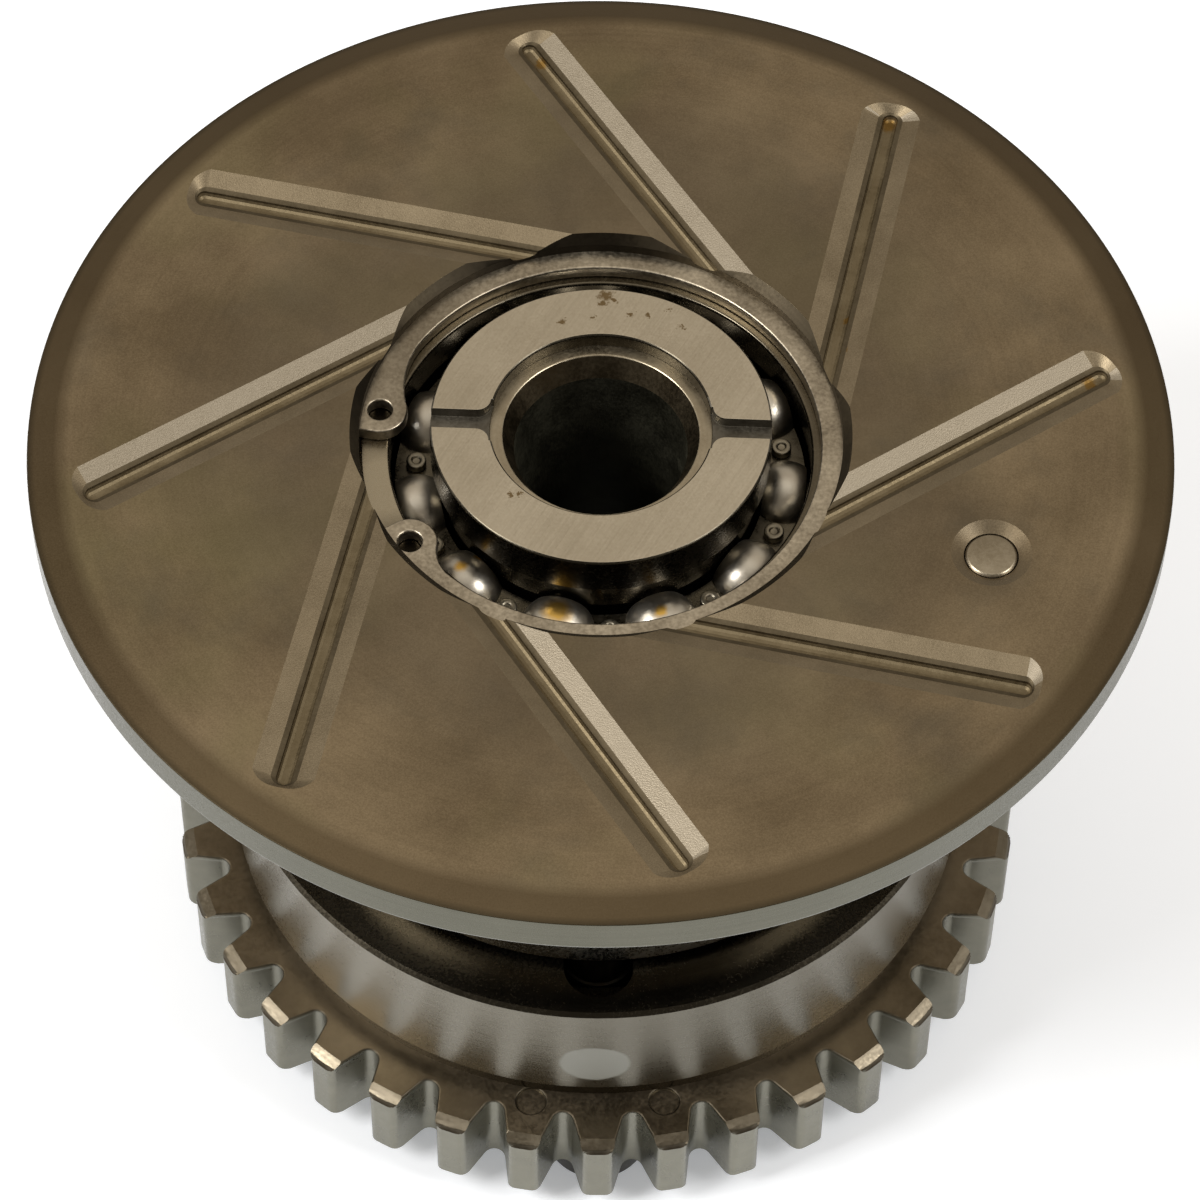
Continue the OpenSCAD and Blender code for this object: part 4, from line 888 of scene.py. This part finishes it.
# %% Sprocket
ON_FRONT, ON_BEVEL, FRONT_ROUND, BEVEL_DROP = 1, 2, 0.28, 2
sprocket = softened("chain_sprocket", 0)
print("bevel corners", shrink_bevels(sprocket))
swell_bevels(sprocket)
flat_ends = (Z_SPROCKET - 0.05) * MM
round_edges(sprocket, FRONT_ROUND, sharper=32, segments=3, clamp=False,
            only=lambda e: min(v.co.z for v in e.verts) > flat_ends)
bmesh.ops.remove_doubles(sprocket, verts=sprocket.verts, dist=SLIVER)
for face in sprocket.faces:
    level = face.calc_center_median().z / MM
    if face.normal.z > 0.95:
        face.material_index = ON_FRONT
    elif face.normal.z > 0.3 and level > Z_SPROCKET - BEVEL_DROP:
        face.material_index = ON_BEVEL
piece(sprocket, "toothed_ring", "housing", "chain_sprocket", smooth=35,
      finishes=(tooth_steel, front_steel, bevel_steel))

# %% [markdown]
# ## Screws, pins and links
# Three screws hold the sprocket to the drum from behind, and the part stands on their heads.
# The levers, links and guide pins hide inside the drum. The levers and links get the same softened edges, and the guide
# pins the polished finish of the balls.
# A small spring sits under each guide pin.

# %% Screws and the anchor pin
screw_steel = steel("blackened_screw_steel", (0.10, 0.095, 0.085), (0.055, 0.05, 0.045), 0.4, cloud=120)
piece(softened("rear_screws", 0.3), "rear_cap_screws", "housing", "rear_screws", finishes=(screw_steel,))
piece(softened("spring_anchor_pin", 0.4), "anchor_pin", "housing", "spring_anchor_pin", finishes=(pin_steel,))

# %% Links, guide pins and small springs
# Painted shade: the links inside the drum are near black.
link_steel = steel("forged_link_shade_steel", (0.07, 0.064, 0.053), (0.035, 0.031, 0.026), 0.4, cloud=120)
piece(softened("lever_pins", 0.3), "round_lever_pins", "hub", "lever_pins", finishes=(pin_steel,))
for k in (1, 2, 3):
    piece(softened(f"link_{k}", 0.2), f"forged_link_{k}", f"linkage_{k}", f"link_{k}", finishes=(link_steel,))
    pin_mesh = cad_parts[f"guide_pin_{k}"].data
    pin_mesh.materials.clear()
    pin_mesh.materials.append(polished)
    low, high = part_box(f"guide_spring_{k}")
    small = smooth_spring(softened(f"guide_spring_{k}", 0), f"small_spring_{k}")
    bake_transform(small)
    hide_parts(f"guide_spring_{k}")
